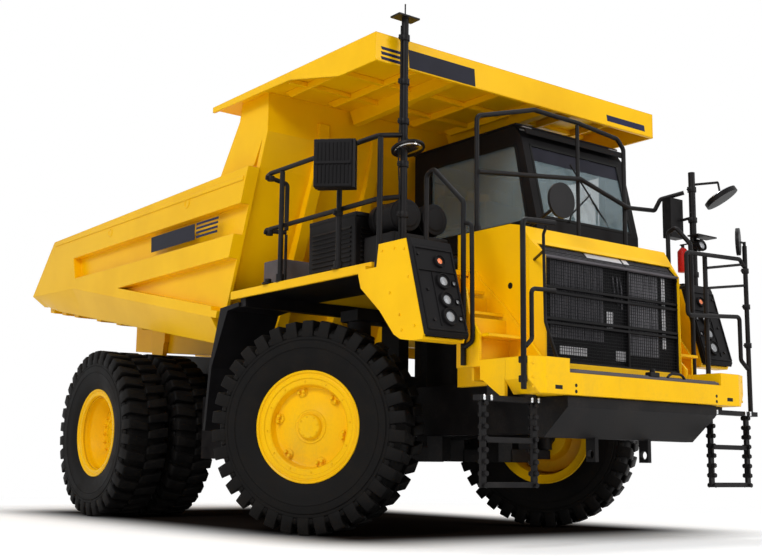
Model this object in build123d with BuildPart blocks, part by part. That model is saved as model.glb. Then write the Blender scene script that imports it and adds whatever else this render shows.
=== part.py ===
"""Rigid mining dump truck, 40 t class: twin-tyred rear axle, tipping bed, steered front axle.

Frame: X forward, Y to the truck's left, Z up, millimetres.  The origin is on the ground under
the middle of the whole truck.  The wheels stand at full left lock, as the truck is parked.
"""
from build123d import *
import os
from math import cos, pi, radians, sin, tan

os.makedirs("parts", exist_ok=True)

# ---------------------------------------------------------------- driving dimensions
WHEELBASE = 3750.0
REAR_AXLE_X = -1970.0
FRONT_AXLE_X = REAR_AXLE_X + WHEELBASE

# wheels, 18.00-33 tyres on 13 inch rims
TYRE_R = 912.0
TYRE_W = 490.0
TREAD_W = 450.0
LUG_DEPTH = 60.0
FLANGE_R = 482.0
BEAD_R = 419.0
RIM_W = 400.0
RIM_WALL = 26.0
KINGPIN_Y = 1385.0
WHEEL_OFFSET = 135.0
STEER_DEG = 31.2
DUAL_OUTER_Y = 1640.0
DUAL_SPACING = 575.0

# frame
RAIL_Y = 440.0
RAIL_W = 170.0
RAIL_Z0 = 860.0
RAIL_Z1 = 1300.0
RAIL_REAR_X = -3120.0
RAIL_FRONT_X = 3900.0
RAIL_STEP_X = 100.0
KICK_X0 = -900.0
KICK_X1 = -300.0
PAD_T = 25.0

# tipping bed
BED_HALF_W = 1764.0
BED_WALL = 130.0
PANEL_RECESS = 95.0
FLOOR_T = 30.0
TAIL_X = -4280.0
TAIL_Z = 2691.0
FLOOR_DROP = 0.1673
BED_TOP_REAR_X = -3657.0
BED_TOP_REAR_Z = 3320.0
BED_TOP_FRONT_X = 1006.0
BED_TOP_FRONT_Z = 3381.0
CHINE_FRONT_X = 484.0
CHINE_FRONT_Z = 1974.0
CHINE_REAR_X = -3000.0
CHINE_REAR_Z = 2657.0
BELLY_HALF_W = 1600.0
CANOPY_FRONT_X = 2965.0
CANOPY_REAR_X = 281.0
CANOPY_TOP_Z = 4126.0
CANOPY_T = 24.0
FASCIA_H = 248.0
LIP_H = 55.0
BED_PIVOT_X = -3020.0
BED_PIVOT_Z = 1740.0
BED_TIP_DEG = 48.0
PIVOT_PIN_R = 60.0
BEAM_REAR_Z = 2031.0
BEAM_REAR_X = -3770.0
BEAM_SLOPE = 0.0897

# hoists
HOIST_Y = 655.0
HOIST_FOOT = (-1200.0, 850.0)
HOIST_EYE = (-1020.0, 1950.0)
HOIST_R = 98.0
FOOT_PIN_R = 40.0
EYE_PIN_R = 35.0
EYE_CLEARANCE = 35.0
EYE_R = 98.0

# decks, cab and nose
DECK_Z = 2190.0
DECK_T = 40.0
DECK_EDGE_H = 75.0
DECK_HALF_W = 1790.0
DECK_REAR_X = 800.0
FENDER_X0 = 2890.0
FENDER_X1 = 3560.0
FENDER_HALF_W = 1850.0
FENDER_IN_Y = 1440.0
FENDER_TOP_Z = 2122.0
HOOD_HALF_W = 880.0
HOOD_TOP_Z = 2524.0
HOOD_Z0 = 1240.0
HOOD_REAR_X = 2990.0
HOOD_FRONT_X = 3955.0
NOSE_BREAK_Z = 2232.0
NOSE_LEAN = 0.879
CORNER_BEVEL_X = 122.0
GRILLE_HALF_W = 825.0
GRILLE_Z0 = 1400.0
GRILLE_Z1 = 2350.0
GRILLE_TOP_Z = GRILLE_Z1 - 15
CAB_Y0 = 80.0
CAB_Y1 = 1480.0
CAB_X0 = 1250.0
CAB_X1 = 2980.0
CAB_ROOF_Z = 3740.0
CAB_WALL = 45.0
BUMPER_X = 4282.0
BUMPER_HALF_W = 1300.0
BUMPER_Z0 = 1125.0
BUMPER_Z1 = 1394.0
LADDER_X = 4050.0
LADDER_Y0 = 1041.0
LADDER_Y1 = 1607.0
LADDER_FOOT_Z = 445.0
LADDER_BAR_Z = 1062.0
TUBE_R = 21.0
FENDER_RAIL_Z = 2300.0
LEFT_POST_X, LEFT_POST_Y = 3450.0, 1720.0
OUTER_POST_Y = 1690.0
FUEL_TANK_Y = 560.0
HYDRAULIC_TANK_Y = 780.0
DRAWBAR_X = -1130.0
GAP = 0.3


# ---------------------------------------------------------------- shared steps
def box_between(x0, x1, y0, y1, z0, z1, mode=Mode.ADD):
    """A box given by the planes of its six faces."""
    with Locations(((x0 + x1) / 2, (y0 + y1) / 2, (z0 + z1) / 2)):
        Box(abs(x1 - x0), abs(y1 - y0), abs(z1 - z0), mode=mode)


def side_face(points, y):
    """A face in the side view, from its (x, z) corners, lying in the plane of that y."""
    with BuildSketch(Plane.XZ.offset(-y)) as sketch:
        with BuildLine():
            Polyline(*points, close=True)
        make_face()
    return sketch.sketch


def front_face(points, x):
    """A face in the front view, from its (y, z) corners, lying in the plane of that x."""
    with BuildSketch(Plane.YZ.offset(x)) as sketch:
        with BuildLine():
            Polyline(*points, close=True)
        make_face()
    return sketch.sketch


def side_plate(points, y0, y1, mode=Mode.ADD):
    """A plate with a side-view outline, from plane y0 to plane y1."""
    extrude(side_face(points, max(y0, y1)), amount=abs(y1 - y0), mode=mode)


def front_plate(points, x0, x1, mode=Mode.ADD):
    """A plate with a front-view outline, from plane x0 to plane x1."""
    extrude(front_face(points, min(x0, x1)), amount=abs(x1 - x0), mode=mode)


def rod(start, end, radius, mode=Mode.ADD):
    """A round bar from one point to another."""
    a, b = Vector(*start), Vector(*end)
    with Locations(Plane(origin=a, z_dir=b - a)):
        Cylinder(radius, (b - a).length, align=(Align.CENTER, Align.CENTER, Align.MIN), mode=mode)


def bent_tube(points, radius, bend):
    """A round tube along straight runs joined by arcs."""
    with BuildLine(mode=Mode.PRIVATE) as line:
        FilletPolyline(*points, radius=bend)
    path = line.wires()[0]
    with BuildSketch(Plane(origin=path @ 0, z_dir=path % 0)) as section:
        Circle(radius)
    sweep(section.sketch, path=path)


def pipe(points, radius, bend):
    """A tube in straight runs and elbows, each a piece of its own, a hair apart."""
    corners = [Vector(*point) for point in points]
    start = corners[0]
    for before, corner, after in zip(corners, corners[1:], corners[2:]):
        come, go = (corner - before).normalized(), (after - corner).normalized()
        half = radians(come.get_angle(go)) / 2
        first, last = corner - come * bend * tan(half), corner + go * bend * tan(half)
        rod(start, first - come * GAP, radius)
        with BuildLine(mode=Mode.PRIVATE) as line:
            ThreePointArc(first, corner + (go - come).normalized() * bend * (1 / cos(half) - 1), last)
        path = line.wires()[0]
        with BuildSketch(Plane(origin=path @ 0, z_dir=path % 0)) as section:
            Circle(radius)
        sweep(section.sketch, path=path)
        start = last + go * GAP
    rod(start, corners[-1], radius)


def write(part, name):
    """Label a finished piece and write it to its own file."""
    part.label = name
    export_step(part, f"parts/{name}.step")


def floor_z(x):
    """Height of the load floor's upper face."""
    return TAIL_Z - (x - TAIL_X) * FLOOR_DROP


def belly_z(x):
    """Height of the lower edge of the bed's tucked flank."""
    return 2059.0 - (x + 1469.0) * 0.177


def beam_z(x):
    """Height of the underside of the bed's long beams."""
    return BEAM_REAR_Z - (x - BEAM_REAR_X) * BEAM_SLOPE


SIDES = (("right", -1), ("left", 1))

# ---------------------------------------------------------------- chassis frame
RAIL_IN_Y = RAIL_Y - RAIL_W / 2
RAIL_OUT_Y = RAIL_Y + RAIL_W / 2
rail_outline = [(RAIL_REAR_X, 1480), (KICK_X0, 1300), (KICK_X1, RAIL_Z0), (RAIL_FRONT_X, RAIL_Z0),
                (RAIL_FRONT_X, RAIL_Z1), (RAIL_STEP_X + 300, RAIL_Z1), (RAIL_STEP_X, beam_z(RAIL_STEP_X) - PAD_T),
                (BED_PIVOT_X - 20, beam_z(BED_PIVOT_X - 20) - PAD_T), (RAIL_REAR_X, BED_PIVOT_Z + 110)]
with BuildPart() as frame_rails:
    for _, side in SIDES:
        side_plate(rail_outline, side * RAIL_IN_Y, side * RAIL_OUT_Y)
write(frame_rails.part, "frame_rails")

with BuildPart() as frame_cross_members:
    # (middle x, lower z, height)
    for x, z, height in ((-2800, 1520, 260), (-1050, 1340, 260), (150, 900, 130), (3780, 900, 300)):
        box_between(x - 90, x + 90, -RAIL_IN_Y + GAP, RAIL_IN_Y - GAP, z, z + height)
    # lugs that hold the front end of the rear axle's drawbar
    for _, side in SIDES:
        box_between(DRAWBAR_X + GAP, DRAWBAR_X + 140, side * 85, side * 115, TYRE_R + 20, 1340 - GAP)
write(frame_cross_members.part, "frame_cross_members")

# towers that carry the front suspension, joined over the engine
STRUT_TOP_Z = 1880.0
TOWER_Y = 640.0
with BuildPart() as strut_towers:
    for _, side in SIDES:
        box_between(FRONT_AXLE_X - 130, FRONT_AXLE_X + 130, side * (RAIL_OUT_Y + GAP), side * TOWER_Y, RAIL_Z0 + 100, STRUT_TOP_Z)
    box_between(FRONT_AXLE_X - 130, FRONT_AXLE_X + 130, -1120, 1120, STRUT_TOP_Z + GAP, STRUT_TOP_Z + 100)
write(strut_towers.part, "strut_towers")

BEAM_TOP_Z = DECK_Z - DECK_T
with BuildPart() as deck_supports:
    for x in (950, 2830):
        box_between(x - 45, x + 45, -DECK_HALF_W + 50, DECK_HALF_W - 50, BEAM_TOP_Z - 110, BEAM_TOP_Z)
        for _, side in SIDES:
            box_between(x - 45, x + 45, side * (RAIL_Y - 60), side * (RAIL_Y + 60), RAIL_Z1 + GAP, BEAM_TOP_Z - 110 - GAP)
write(deck_supports.part, "deck_supports")

with BuildPart() as frame_brackets:
    for _, side in SIDES:
        # arms that carry the ladders, the stairs and the hood, and brackets behind the bumper
        box_between(3760, 3880, side * (RAIL_OUT_Y + GAP), side * 1269, 1110, HOOD_Z0 - GAP)
        box_between(RAIL_FRONT_X + GAP, 3990 - GAP, side * 370, side * 510, 1130, HOOD_Z0 - GAP)
        # hinge pins of the bed
        rod((BED_PIVOT_X, side * (RAIL_OUT_Y + GAP), BED_PIVOT_Z), (BED_PIVOT_X, side * 610, BED_PIVOT_Z), PIVOT_PIN_R)
        # plates and pins under the hoists' feet
        foot = [(HOIST_FOOT[0] - 130, 1500), (HOIST_FOOT[0] - 75, HOIST_FOOT[1] - 75),
                (HOIST_FOOT[0] + 75, HOIST_FOOT[1] - 75), (HOIST_FOOT[0] + 260, 1500)]
        side_plate(foot, side * (RAIL_OUT_Y + GAP), side * (RAIL_OUT_Y + 25))
        rod((HOIST_FOOT[0], side * (RAIL_OUT_Y + 10), HOIST_FOOT[1]), (HOIST_FOOT[0], side * 715, HOIST_FOOT[1]), FOOT_PIN_R)
    # brackets that carry the tanks: (side, inner face of the tank)
    for side, tank_y in ((1, FUEL_TANK_Y), (-1, HYDRAULIC_TANK_Y)):
        for x in (-230, 320):
            box_between(x, x + 90, side * (RAIL_OUT_Y + GAP), side * (tank_y - GAP), 930, 1200)
write(frame_brackets.part, "frame_brackets")

# ---------------------------------------------------------------- wheels and axles
SPINDLE_R = 95.0
HUB_BORE_GAP = 0.3
FORK_PIN_R = 45.0


def outward(side, steer_deg):
    """Unit vector along a wheel's axle, away from the truck, at a steer angle to the left."""
    angle = radians(steer_deg)
    return Vector(-side * sin(angle), side * cos(angle), 0)


def wheel_plane(centre, axle):
    """Plane whose X runs up the wheel's radius and whose Y runs outward along its axle."""
    return Plane(origin=centre, x_dir=(0, 0, 1), z_dir=Vector(0, 0, 1).cross(axle))


def ring(plane, corners):
    """Revolve an outline of (axial, radius) corners about the plane's axle."""
    with BuildSketch(plane) as section:
        with BuildLine():
            Polyline(*[(radius, axial) for axial, radius in corners], close=True)
        make_face()
    revolve(section.sketch, axis=Axis(plane.origin, plane.y_dir))


# tyre with its lugs, built about the origin with its axle along Y; its facets keep it light
TREAD_EDGE = TREAD_W / 2
TYRE_HALF = TYRE_W / 2
LUGS = 34
LUG_PITCH = 2 * pi / LUGS
FACETS = 17
# outline of one lug: (share of the pitch from its middle, radius of that corner)
LUG_CORNERS = ((-0.33, TYRE_R - LUG_DEPTH), (-0.27, TYRE_R / cos(0.27 * LUG_PITCH)),
               (0.27, TYRE_R / cos(0.27 * LUG_PITCH)), (0.33, TYRE_R - LUG_DEPTH))
# hollow of a sidewall: (distance from the middle, radius inside its facets), from the cheek to the bead
SIDEWALL = ((TYRE_HALF, 650.0), (RIM_W / 2, FLANGE_R + 4), (RIM_W / 2 - 18, FLANGE_R + 2), (RIM_W / 2 - 32, BEAD_R + GAP))


def tyre_plane(y):
    """Plane across the tyre's axle, its X pointing down."""
    return Plane(origin=(0, y, 0), x_dir=(0, 0, -1), z_dir=(0, 1, 0))


def frustum(y0, r0, y1, r1, mode=Mode.ADD):
    """A faceted cone about the tyre's axle, between two planes, its facets touching the two radii."""
    ends = []
    for y, r in ((y0, r0), (y1, r1)):
        with BuildSketch(tyre_plane(y)) as end:
            RegularPolygon(r, FACETS, major_radius=False)
        ends.append(end.sketch.face())
    loft(ends, ruled=True, mode=mode)


with BuildPart() as tyre:
    with BuildSketch(tyre_plane(-TREAD_EDGE)) as tread:
        with BuildLine():
            Polyline(*[(r * cos((lug + share) * LUG_PITCH), r * sin((lug + share) * LUG_PITCH))
                       for lug in range(LUGS) for share, r in LUG_CORNERS], close=True)
        make_face()
    extrude(tread.sketch, amount=TREAD_W)
    for _, side in SIDES:
        frustum(side * TREAD_EDGE, 795, side * TYRE_HALF, 750)
        for (y0, r0), (y1, r1) in zip(SIDEWALL, SIDEWALL[1:]):
            frustum(side * y0, r0, side * y1, r1, mode=Mode.SUBTRACT)
    bead_y, bead_r = SIDEWALL[-1]
    frustum(-bead_y, bead_r, bead_y, bead_r, mode=Mode.SUBTRACT)

# rim barrel with its flanges: (axial from the rim's middle, radius)
BARREL = [(-RIM_W / 2, FLANGE_R), (-RIM_W / 2, BEAD_R - RIM_WALL), (RIM_W / 2, BEAD_R - RIM_WALL),
          (RIM_W / 2, FLANGE_R), (RIM_W / 2 - 16, FLANGE_R), (RIM_W / 2 - 30, BEAD_R),
          (-RIM_W / 2 + 30, BEAD_R), (-RIM_W / 2 + 16, FLANGE_R)]
# front disc and hub: (axial, radius); the hub is bored for the spindle
FRONT_DISC = [(60.0, BEAD_R - RIM_WALL + 1), (118.0, BEAD_R - RIM_WALL + 1), (150.0, 352.0), (96.0, 318.0),
              (90.0, 250.0), (112.0, 220.0), (128.0, 110.0), (168.0, 96.0), (176.0, 0.0),
              (110.0, 0.0), (110.0, SPINDLE_R + HUB_BORE_GAP), (-48.0, SPINDLE_R + HUB_BORE_GAP),
              (-48.0, 210.0), (60.0, 260.0)]
wheels = {}
for name, side in SIDES:
    axle = outward(side, STEER_DEG)
    kingpin = Vector(FRONT_AXLE_X, side * KINGPIN_Y, TYRE_R)
    plane = wheel_plane(kingpin + axle * WHEEL_OFFSET, axle)
    with BuildPart() as front_rim:
        ring(plane, BARREL)
        ring(plane, FRONT_DISC)
    write(front_rim.part, f"front_rim_{name}")
    with BuildPart() as front_tyre:
        with Locations(Location(kingpin + axle * WHEEL_OFFSET, (0, 0, STEER_DEG))):
            add(tyre.part)
    write(front_tyre.part, f"front_tyre_{name}")
    with BuildPart() as knuckle:
        rod(kingpin - Vector(0, 0, 139), kingpin + Vector(0, 0, 139), 80)
        rod(kingpin, kingpin + axle * (WHEEL_OFFSET + 100), SPINDLE_R)
        rod(kingpin - Vector(0, 0, 141), kingpin + Vector(0, 0, 141), FORK_PIN_R + HUB_BORE_GAP, mode=Mode.SUBTRACT)
    write(knuckle.part, f"knuckle_{name}")

# deep dished outer disc of the twin wheel, inner barrel and shared hub: (axial from the outer rim)
REAR_SPINDLE_R = 150.0
REAR_BORE_R = REAR_SPINDLE_R + HUB_BORE_GAP
REAR_DISC = [(60.0, BEAD_R - RIM_WALL + 1), (90.0, BEAD_R - RIM_WALL + 1), (-60.0, 330.0), (-110.0, 250.0),
             (-100.0, 0.0), (-140.0, 0.0), (-140.0, REAR_BORE_R), (-800.0, REAR_BORE_R), (-800.0, 250.0),
             (-300.0, 270.0), (-160.0, 330.0)]
SPACER = [(-DUAL_SPACING + RIM_W / 2 - 2, BEAD_R - RIM_WALL), (-DUAL_SPACING + RIM_W / 2 - 2, BEAD_R - 4),
          (-RIM_W / 2 + 2, BEAD_R - 4), (-RIM_W / 2 + 2, BEAD_R - RIM_WALL)]
INNER_WEB = [(-DUAL_SPACING - 60, BEAD_R - RIM_WALL + 1), (-DUAL_SPACING - 60, 240.0),
             (-DUAL_SPACING - 90, 240.0), (-DUAL_SPACING - 90, BEAD_R - RIM_WALL + 1)]
for name, side in SIDES:
    axle = outward(side, 0)
    outer = wheel_plane(Vector(REAR_AXLE_X, side * DUAL_OUTER_Y, TYRE_R), axle)
    inner = wheel_plane(Vector(REAR_AXLE_X, side * (DUAL_OUTER_Y - DUAL_SPACING), TYRE_R), axle)
    with BuildPart() as rear_rims:
        ring(outer, BARREL)
        ring(inner, BARREL)
        ring(outer, REAR_DISC)
        ring(outer, SPACER)
        ring(outer, INNER_WEB)
    write(rear_rims.part, f"rear_rims_{name}")
    with BuildPart() as rear_tyres:
        with Locations(outer.origin, inner.origin):
            add(tyre.part)
    write(rear_tyres.part, f"rear_tyres_{name}")

HOUSING_R = 185.0
PINION_X = REAR_AXLE_X + 340
SHAFT_Z = TYRE_R + 208
SEAT_Z = TYRE_R + 218
with BuildPart() as rear_axle:
    rod((REAR_AXLE_X, -780, TYRE_R), (REAR_AXLE_X, 780, TYRE_R), HOUSING_R)
    rod((REAR_AXLE_X, -1460, TYRE_R), (REAR_AXLE_X, 1460, TYRE_R), REAR_SPINDLE_R)
    with Locations((REAR_AXLE_X, 0, TYRE_R)):
        Sphere(310)
    rod((REAR_AXLE_X, 0, SHAFT_Z), (PINION_X, 0, SHAFT_Z), 100)
    # drawbar that runs forward to the frame's cross member
    with BuildSketch(Plane.XY.offset(TYRE_R + 20)):
        with BuildLine():
            Polyline((REAR_AXLE_X, -420), (REAR_AXLE_X, 420), (DRAWBAR_X, 110), (DRAWBAR_X, -110), close=True)
        make_face()
    extrude(amount=110)
    # seats under the two rear suspension cylinders
    for _, side in SIDES:
        box_between(REAR_AXLE_X - 90, REAR_AXLE_X + 90, side * 560, side * 720, TYRE_R, SEAT_Z)
write(rear_axle.part, "rear_axle")

with BuildPart() as rear_suspension:
    for _, side in SIDES:
        rod((REAR_AXLE_X, side * 640, SEAT_Z), (REAR_AXLE_X, side * 640, SEAT_Z + 290), 62)
        rod((REAR_AXLE_X, side * 640, SEAT_Z + 170), (REAR_AXLE_X, side * 640, SEAT_Z + 470), 88)
        box_between(REAR_AXLE_X - 80, REAR_AXLE_X + 80, side * RAIL_OUT_Y, side * 720, SEAT_Z + 410, SEAT_Z + 510)
write(rear_suspension.part, "rear_suspension")

# front arms with the forks that hold the kingpins, and the struts that stand on them
STRUT_Y = 1000.0
STRUT_R = 105.0
with BuildPart() as front_arms:
    for _, side in SIDES:
        with BuildSketch(Plane.XY.offset(640)):
            with BuildLine():
                Polyline((FRONT_AXLE_X - 420, side * 520), (FRONT_AXLE_X - 260, side * 520),
                         (FRONT_AXLE_X - 70, side * 960), (FRONT_AXLE_X + 70, side * 960),
                         (FRONT_AXLE_X + 260, side * 520), (FRONT_AXLE_X + 420, side * 520),
                         (FRONT_AXLE_X + 100, side * 1110), (FRONT_AXLE_X - 100, side * 1110), close=True)
            make_face()
        extrude(amount=120)
        for x in (-340, 340):
            box_between(FRONT_AXLE_X + x - 70, FRONT_AXLE_X + x + 70, side * 350, side * 530, 640, RAIL_Z0)
        box_between(FRONT_AXLE_X - 90, FRONT_AXLE_X + 90, side * 930, side * 1120, 640, 1180)
        for z in (TYRE_R - 235, TYRE_R + 145):
            box_between(FRONT_AXLE_X - 60, FRONT_AXLE_X + 60, side * 1100, side * KINGPIN_Y, z, z + 90)
            rod((FRONT_AXLE_X, side * KINGPIN_Y, z), (FRONT_AXLE_X, side * KINGPIN_Y, z + 90), 62)
        rod((FRONT_AXLE_X, side * KINGPIN_Y, TYRE_R - 235), (FRONT_AXLE_X, side * KINGPIN_Y, TYRE_R + 235),
            FORK_PIN_R)
write(front_arms.part, "front_arms")

with BuildPart() as front_struts:
    for _, side in SIDES:
        rod((FRONT_AXLE_X, side * STRUT_Y, 1180), (FRONT_AXLE_X, side * STRUT_Y, 1500), 70)
        rod((FRONT_AXLE_X, side * STRUT_Y, 1330), (FRONT_AXLE_X, side * STRUT_Y, STRUT_TOP_Z), STRUT_R)
write(front_struts.part, "front_struts")

# ---------------------------------------------------------------- drive train and tanks
MOUNT_Y = RAIL_IN_Y - GAP
with BuildPart() as engine_block:
    box_between(1950, 3350, -340, 340, 1010, 1850)
    for x in (2250, 3050):
        box_between(x, x + 160, -MOUNT_Y, MOUNT_Y, 1100, 1190)
write(engine_block.part, "engine_block")
with BuildPart() as transmission_block:
    box_between(500, 1500, -330, 330, 900, 1450)
    box_between(900, 1100, -MOUNT_Y, MOUNT_Y, 1100, 1190)
write(transmission_block.part, "transmission_block")
with BuildPart() as drive_shafts:
    rod((1500 + GAP, 0, 1150), (1950 - GAP, 0, 1150), 70)
    rod((500 - GAP, 0, SHAFT_Z), (PINION_X + GAP, 0, SHAFT_Z), 70)
write(drive_shafts.part, "drive_shafts")
with BuildPart() as fuel_tank:
    box_between(-750, 450, FUEL_TANK_Y, 1180, 640, 1290)
write(fuel_tank.part, "fuel_tank")
with BuildPart() as hydraulic_tank:
    box_between(-750, 450, -1180, -HYDRAULIC_TANK_Y, 640, 1290)
write(hydraulic_tank.part, "hydraulic_tank")

# ---------------------------------------------------------------- tipping bed
side_outline = [(TAIL_X, TAIL_Z), (BED_TOP_REAR_X, BED_TOP_REAR_Z), (BED_TOP_FRONT_X, BED_TOP_FRONT_Z),
                (CHINE_FRONT_X, CHINE_FRONT_Z), (CHINE_REAR_X, CHINE_REAR_Z)]
upper_panel = [(-3026, 3030), (905, 3041), (810, 2760), (-2950, 2773)]
lower_panel = [(-1731, 2519), (700, 2540), (520, 2040), (-1613, 2382)]
BELLY_FRONT_X = 390.0
FLANK_INNER_Y = BELLY_HALF_W - 40
FLOOR_HALF_W = FLANK_INNER_Y - GAP
for name, side in SIDES:
    outer_y, inner_y = side * BED_HALF_W, side * (BED_HALF_W - BED_WALL)
    with BuildPart() as bed_side:
        side_plate(side_outline, outer_y, inner_y)
        for panel in (upper_panel, lower_panel):
            side_plate(panel, outer_y, side * (BED_HALF_W - PANEL_RECESS), mode=Mode.SUBTRACT)
        # tucked flank below the chine: (x, chine height, lower edge height, height where it meets the wall)
        stations = ((TAIL_X + 10, TAIL_Z, TAIL_Z - 120, TAIL_Z + 8), (-4150, 2687, TAIL_Z - 127, 2790),
                    (-3800, 2678, belly_z(-3800), 2780), (CHINE_REAR_X, CHINE_REAR_Z, belly_z(CHINE_REAR_X), 2765),
                    (BELLY_FRONT_X, CHINE_FRONT_Z + 18, belly_z(BELLY_FRONT_X), 2100))
        for x, chine, belly, top in stations:
            with BuildSketch(Plane.YZ.offset(x)):
                with BuildLine():
                    Polyline((outer_y, chine), (side * BELLY_HALF_W, belly), (side * FLANK_INNER_Y, belly),
                             (side * FLANK_INNER_Y, floor_z(x) + 2), (inner_y, top), (outer_y, top), close=True)
                make_face()
        loft(ruled=True)
    write(bed_side.part, f"bed_side_{name}")

INSIDE_Y = BED_HALF_W - BED_WALL - GAP
FLOOR_FRONT_X = 240.0
floor_outline = [(TAIL_X, TAIL_Z), (FLOOR_FRONT_X, floor_z(FLOOR_FRONT_X)),
                 (FLOOR_FRONT_X, floor_z(FLOOR_FRONT_X) - FLOOR_T), (TAIL_X, TAIL_Z - FLOOR_T)]
BOLSTER_X = (-4150.0, -3760.0, -3370.0, -2700.0, -2150.0, -1600.0, -700.0, -150.0)
with BuildPart() as bed_floor:
    side_plate(floor_outline, -FLOOR_HALF_W, FLOOR_HALF_W)
write(bed_floor.part, "bed_floor")

BOLSTER_H = 150.0
with BuildPart() as bed_bolsters:
    for x in BOLSTER_X:
        top, low = floor_z(x) - FLOOR_T, floor_z(x) - FLOOR_T - BOLSTER_H
        side_plate([(x - 80, top + 80 * FLOOR_DROP), (x + 80, top - 80 * FLOOR_DROP),
                    (x + 60, low - 60 * FLOOR_DROP), (x - 60, low + 60 * FLOOR_DROP)], -1540, 1540)
write(bed_bolsters.part, "bed_bolsters")


def bolster_z(x):
    """Height of the underside of the bolsters, where the long beams carry them."""
    return floor_z(x) - FLOOR_T - BOLSTER_H - GAP


beam = [(BEAM_REAR_X, beam_z(BEAM_REAR_X)), (160, beam_z(160)), (160, bolster_z(160)), (BEAM_REAR_X, bolster_z(BEAM_REAR_X))]
ear = [(BED_PIVOT_X - 110, BED_PIVOT_Z), (BED_PIVOT_X - 70, BED_PIVOT_Z - 90), (BED_PIVOT_X + 70, BED_PIVOT_Z - 90),
       (BED_PIVOT_X + 110, BED_PIVOT_Z), (BED_PIVOT_X + 200, 2290), (BED_PIVOT_X - 200, 2290)]
EAR_Y = RAIL_OUT_Y + 6
with BuildPart() as bed_beams:
    for _, side in SIDES:
        side_plate(beam, side * RAIL_IN_Y, side * RAIL_OUT_Y)
        # hinge ears outside the rails
        side_plate(ear, side * EAR_Y, side * (EAR_Y + 60))
        box_between(BED_PIVOT_X - 180, BED_PIVOT_X + 180, side * (RAIL_OUT_Y + GAP), side * (EAR_Y + 60), 2080, 2280)
        rod((BED_PIVOT_X, side * 500, BED_PIVOT_Z), (BED_PIVOT_X, side * 620, BED_PIVOT_Z),
            PIVOT_PIN_R + GAP, mode=Mode.SUBTRACT)
        # plates and pins over the hoists' eyes
        box_between(HOIST_EYE[0] - 110, HOIST_EYE[0] + 110, side * (RAIL_OUT_Y + GAP), side * (RAIL_OUT_Y + 25), 1800, 2000)
        rod((HOIST_EYE[0], side * (RAIL_OUT_Y + 10), HOIST_EYE[1]), (HOIST_EYE[0], side * 715, HOIST_EYE[1]), EYE_PIN_R)
write(bed_beams.part, "bed_beams")

wall_line = [(FLOOR_FRONT_X + GAP, 1890), (330, 1890), (1000, 3390), (1120, 3720), (1120, CANOPY_TOP_Z - CANOPY_T),
             (1060, CANOPY_TOP_Z - CANOPY_T), (1060, 3740), (940, 3410), (FLOOR_FRONT_X + GAP, 1960)]
gusset = [(247, 3428), (891, 3428), (1104, 3786), (1104, CANOPY_TOP_Z - CANOPY_T),
          (640, CANOPY_TOP_Z - CANOPY_T), (600, 3930)]
with BuildPart() as bed_front:
    side_plate(wall_line, -INSIDE_Y, INSIDE_Y)
    for _, side in SIDES:
        side_plate(gusset, side * (INSIDE_Y - 60), side * INSIDE_Y)
    for y in (-1000, -350, 350, 1000):
        rib = [(330, 1890), (470, 1890), (1075, 3390), (1160, 3700), (1160, 3900), (1100, 3900), (1100, 3720), (990, 3390)]
        side_plate(rib, y - 60, y + 60)
    for _, side in SIDES:
        box_between(200, BELLY_FRONT_X + 5, side * FLOOR_HALF_W, side * BED_HALF_W, 1700, 2145, mode=Mode.SUBTRACT)
write(bed_front.part, "bed_front")

lip = CANOPY_TOP_Z - CANOPY_T - GAP
with BuildPart() as bed_canopy:
    box_between(CANOPY_REAR_X, CANOPY_FRONT_X, -BED_HALF_W, BED_HALF_W, CANOPY_TOP_Z - CANOPY_T, CANOPY_TOP_Z)
    for _, side in SIDES:
        cheek = [(CANOPY_REAR_X, CANOPY_TOP_Z), (CANOPY_FRONT_X, CANOPY_TOP_Z), (CANOPY_FRONT_X, CANOPY_TOP_Z - FASCIA_H),
                 (2448, CANOPY_TOP_Z - FASCIA_H), (1683, CANOPY_TOP_Z - LIP_H - 24), (CANOPY_REAR_X, CANOPY_TOP_Z - LIP_H)]
        side_plate(cheek, side * BED_HALF_W, side * (BED_HALF_W - 25))
        side_plate([(1130, CANOPY_TOP_Z - CANOPY_T), (CANOPY_FRONT_X - 20, CANOPY_TOP_Z - CANOPY_T),
                    (CANOPY_FRONT_X - 20, CANOPY_TOP_Z - 120), (1200, CANOPY_TOP_Z - 180)], side * 600, side * 680)
    box_between(CANOPY_FRONT_X - 25, CANOPY_FRONT_X, -BED_HALF_W, BED_HALF_W, CANOPY_TOP_Z - FASCIA_H, CANOPY_TOP_Z)
write(bed_canopy.part, "bed_canopy")

# ---------------------------------------------------------------- two-stage hoists
reach = Vector(HOIST_EYE[0] - HOIST_FOOT[0], 0, HOIST_EYE[1] - HOIST_FOOT[1])
hoist_dir = reach.normalized()
# per stage: radius, start and end along the hoist from its foot, bore for the next stage
STAGES = (("barrel", HOIST_R, 60.0, 955.0), ("stage", 76.0, 120.0, 975.0), ("rod", 55.0, 150.0, 1030.0))
for name, side in SIDES:
    foot = Vector(HOIST_FOOT[0], side * HOIST_Y, HOIST_FOOT[1])
    eye = foot + reach
    across = Vector(0, 1, 0)
    for index, (stage, radius, start, end) in enumerate(STAGES):
        with BuildPart() as hoist:
            rod(foot + hoist_dir * start, foot + hoist_dir * end, radius)
            if index < 2:
                bore = STAGES[index + 1]
                rod(foot + hoist_dir * (bore[2] - 1), foot + hoist_dir * (end + 1), bore[1] + 6, mode=Mode.SUBTRACT)
            if stage == "barrel":
                rod(foot - across * 35, foot + across * 35, 75)
                rod(foot - across * 36, foot + across * 36, FOOT_PIN_R + GAP, mode=Mode.SUBTRACT)
            if stage == "rod":
                rod(eye - across * 35, eye + across * 35, EYE_R)
                rod(eye - across * 36, eye + across * 36, EYE_PIN_R + EYE_CLEARANCE, mode=Mode.SUBTRACT)
        write(hoist.part, f"hoist_{stage}_{name}")

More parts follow.
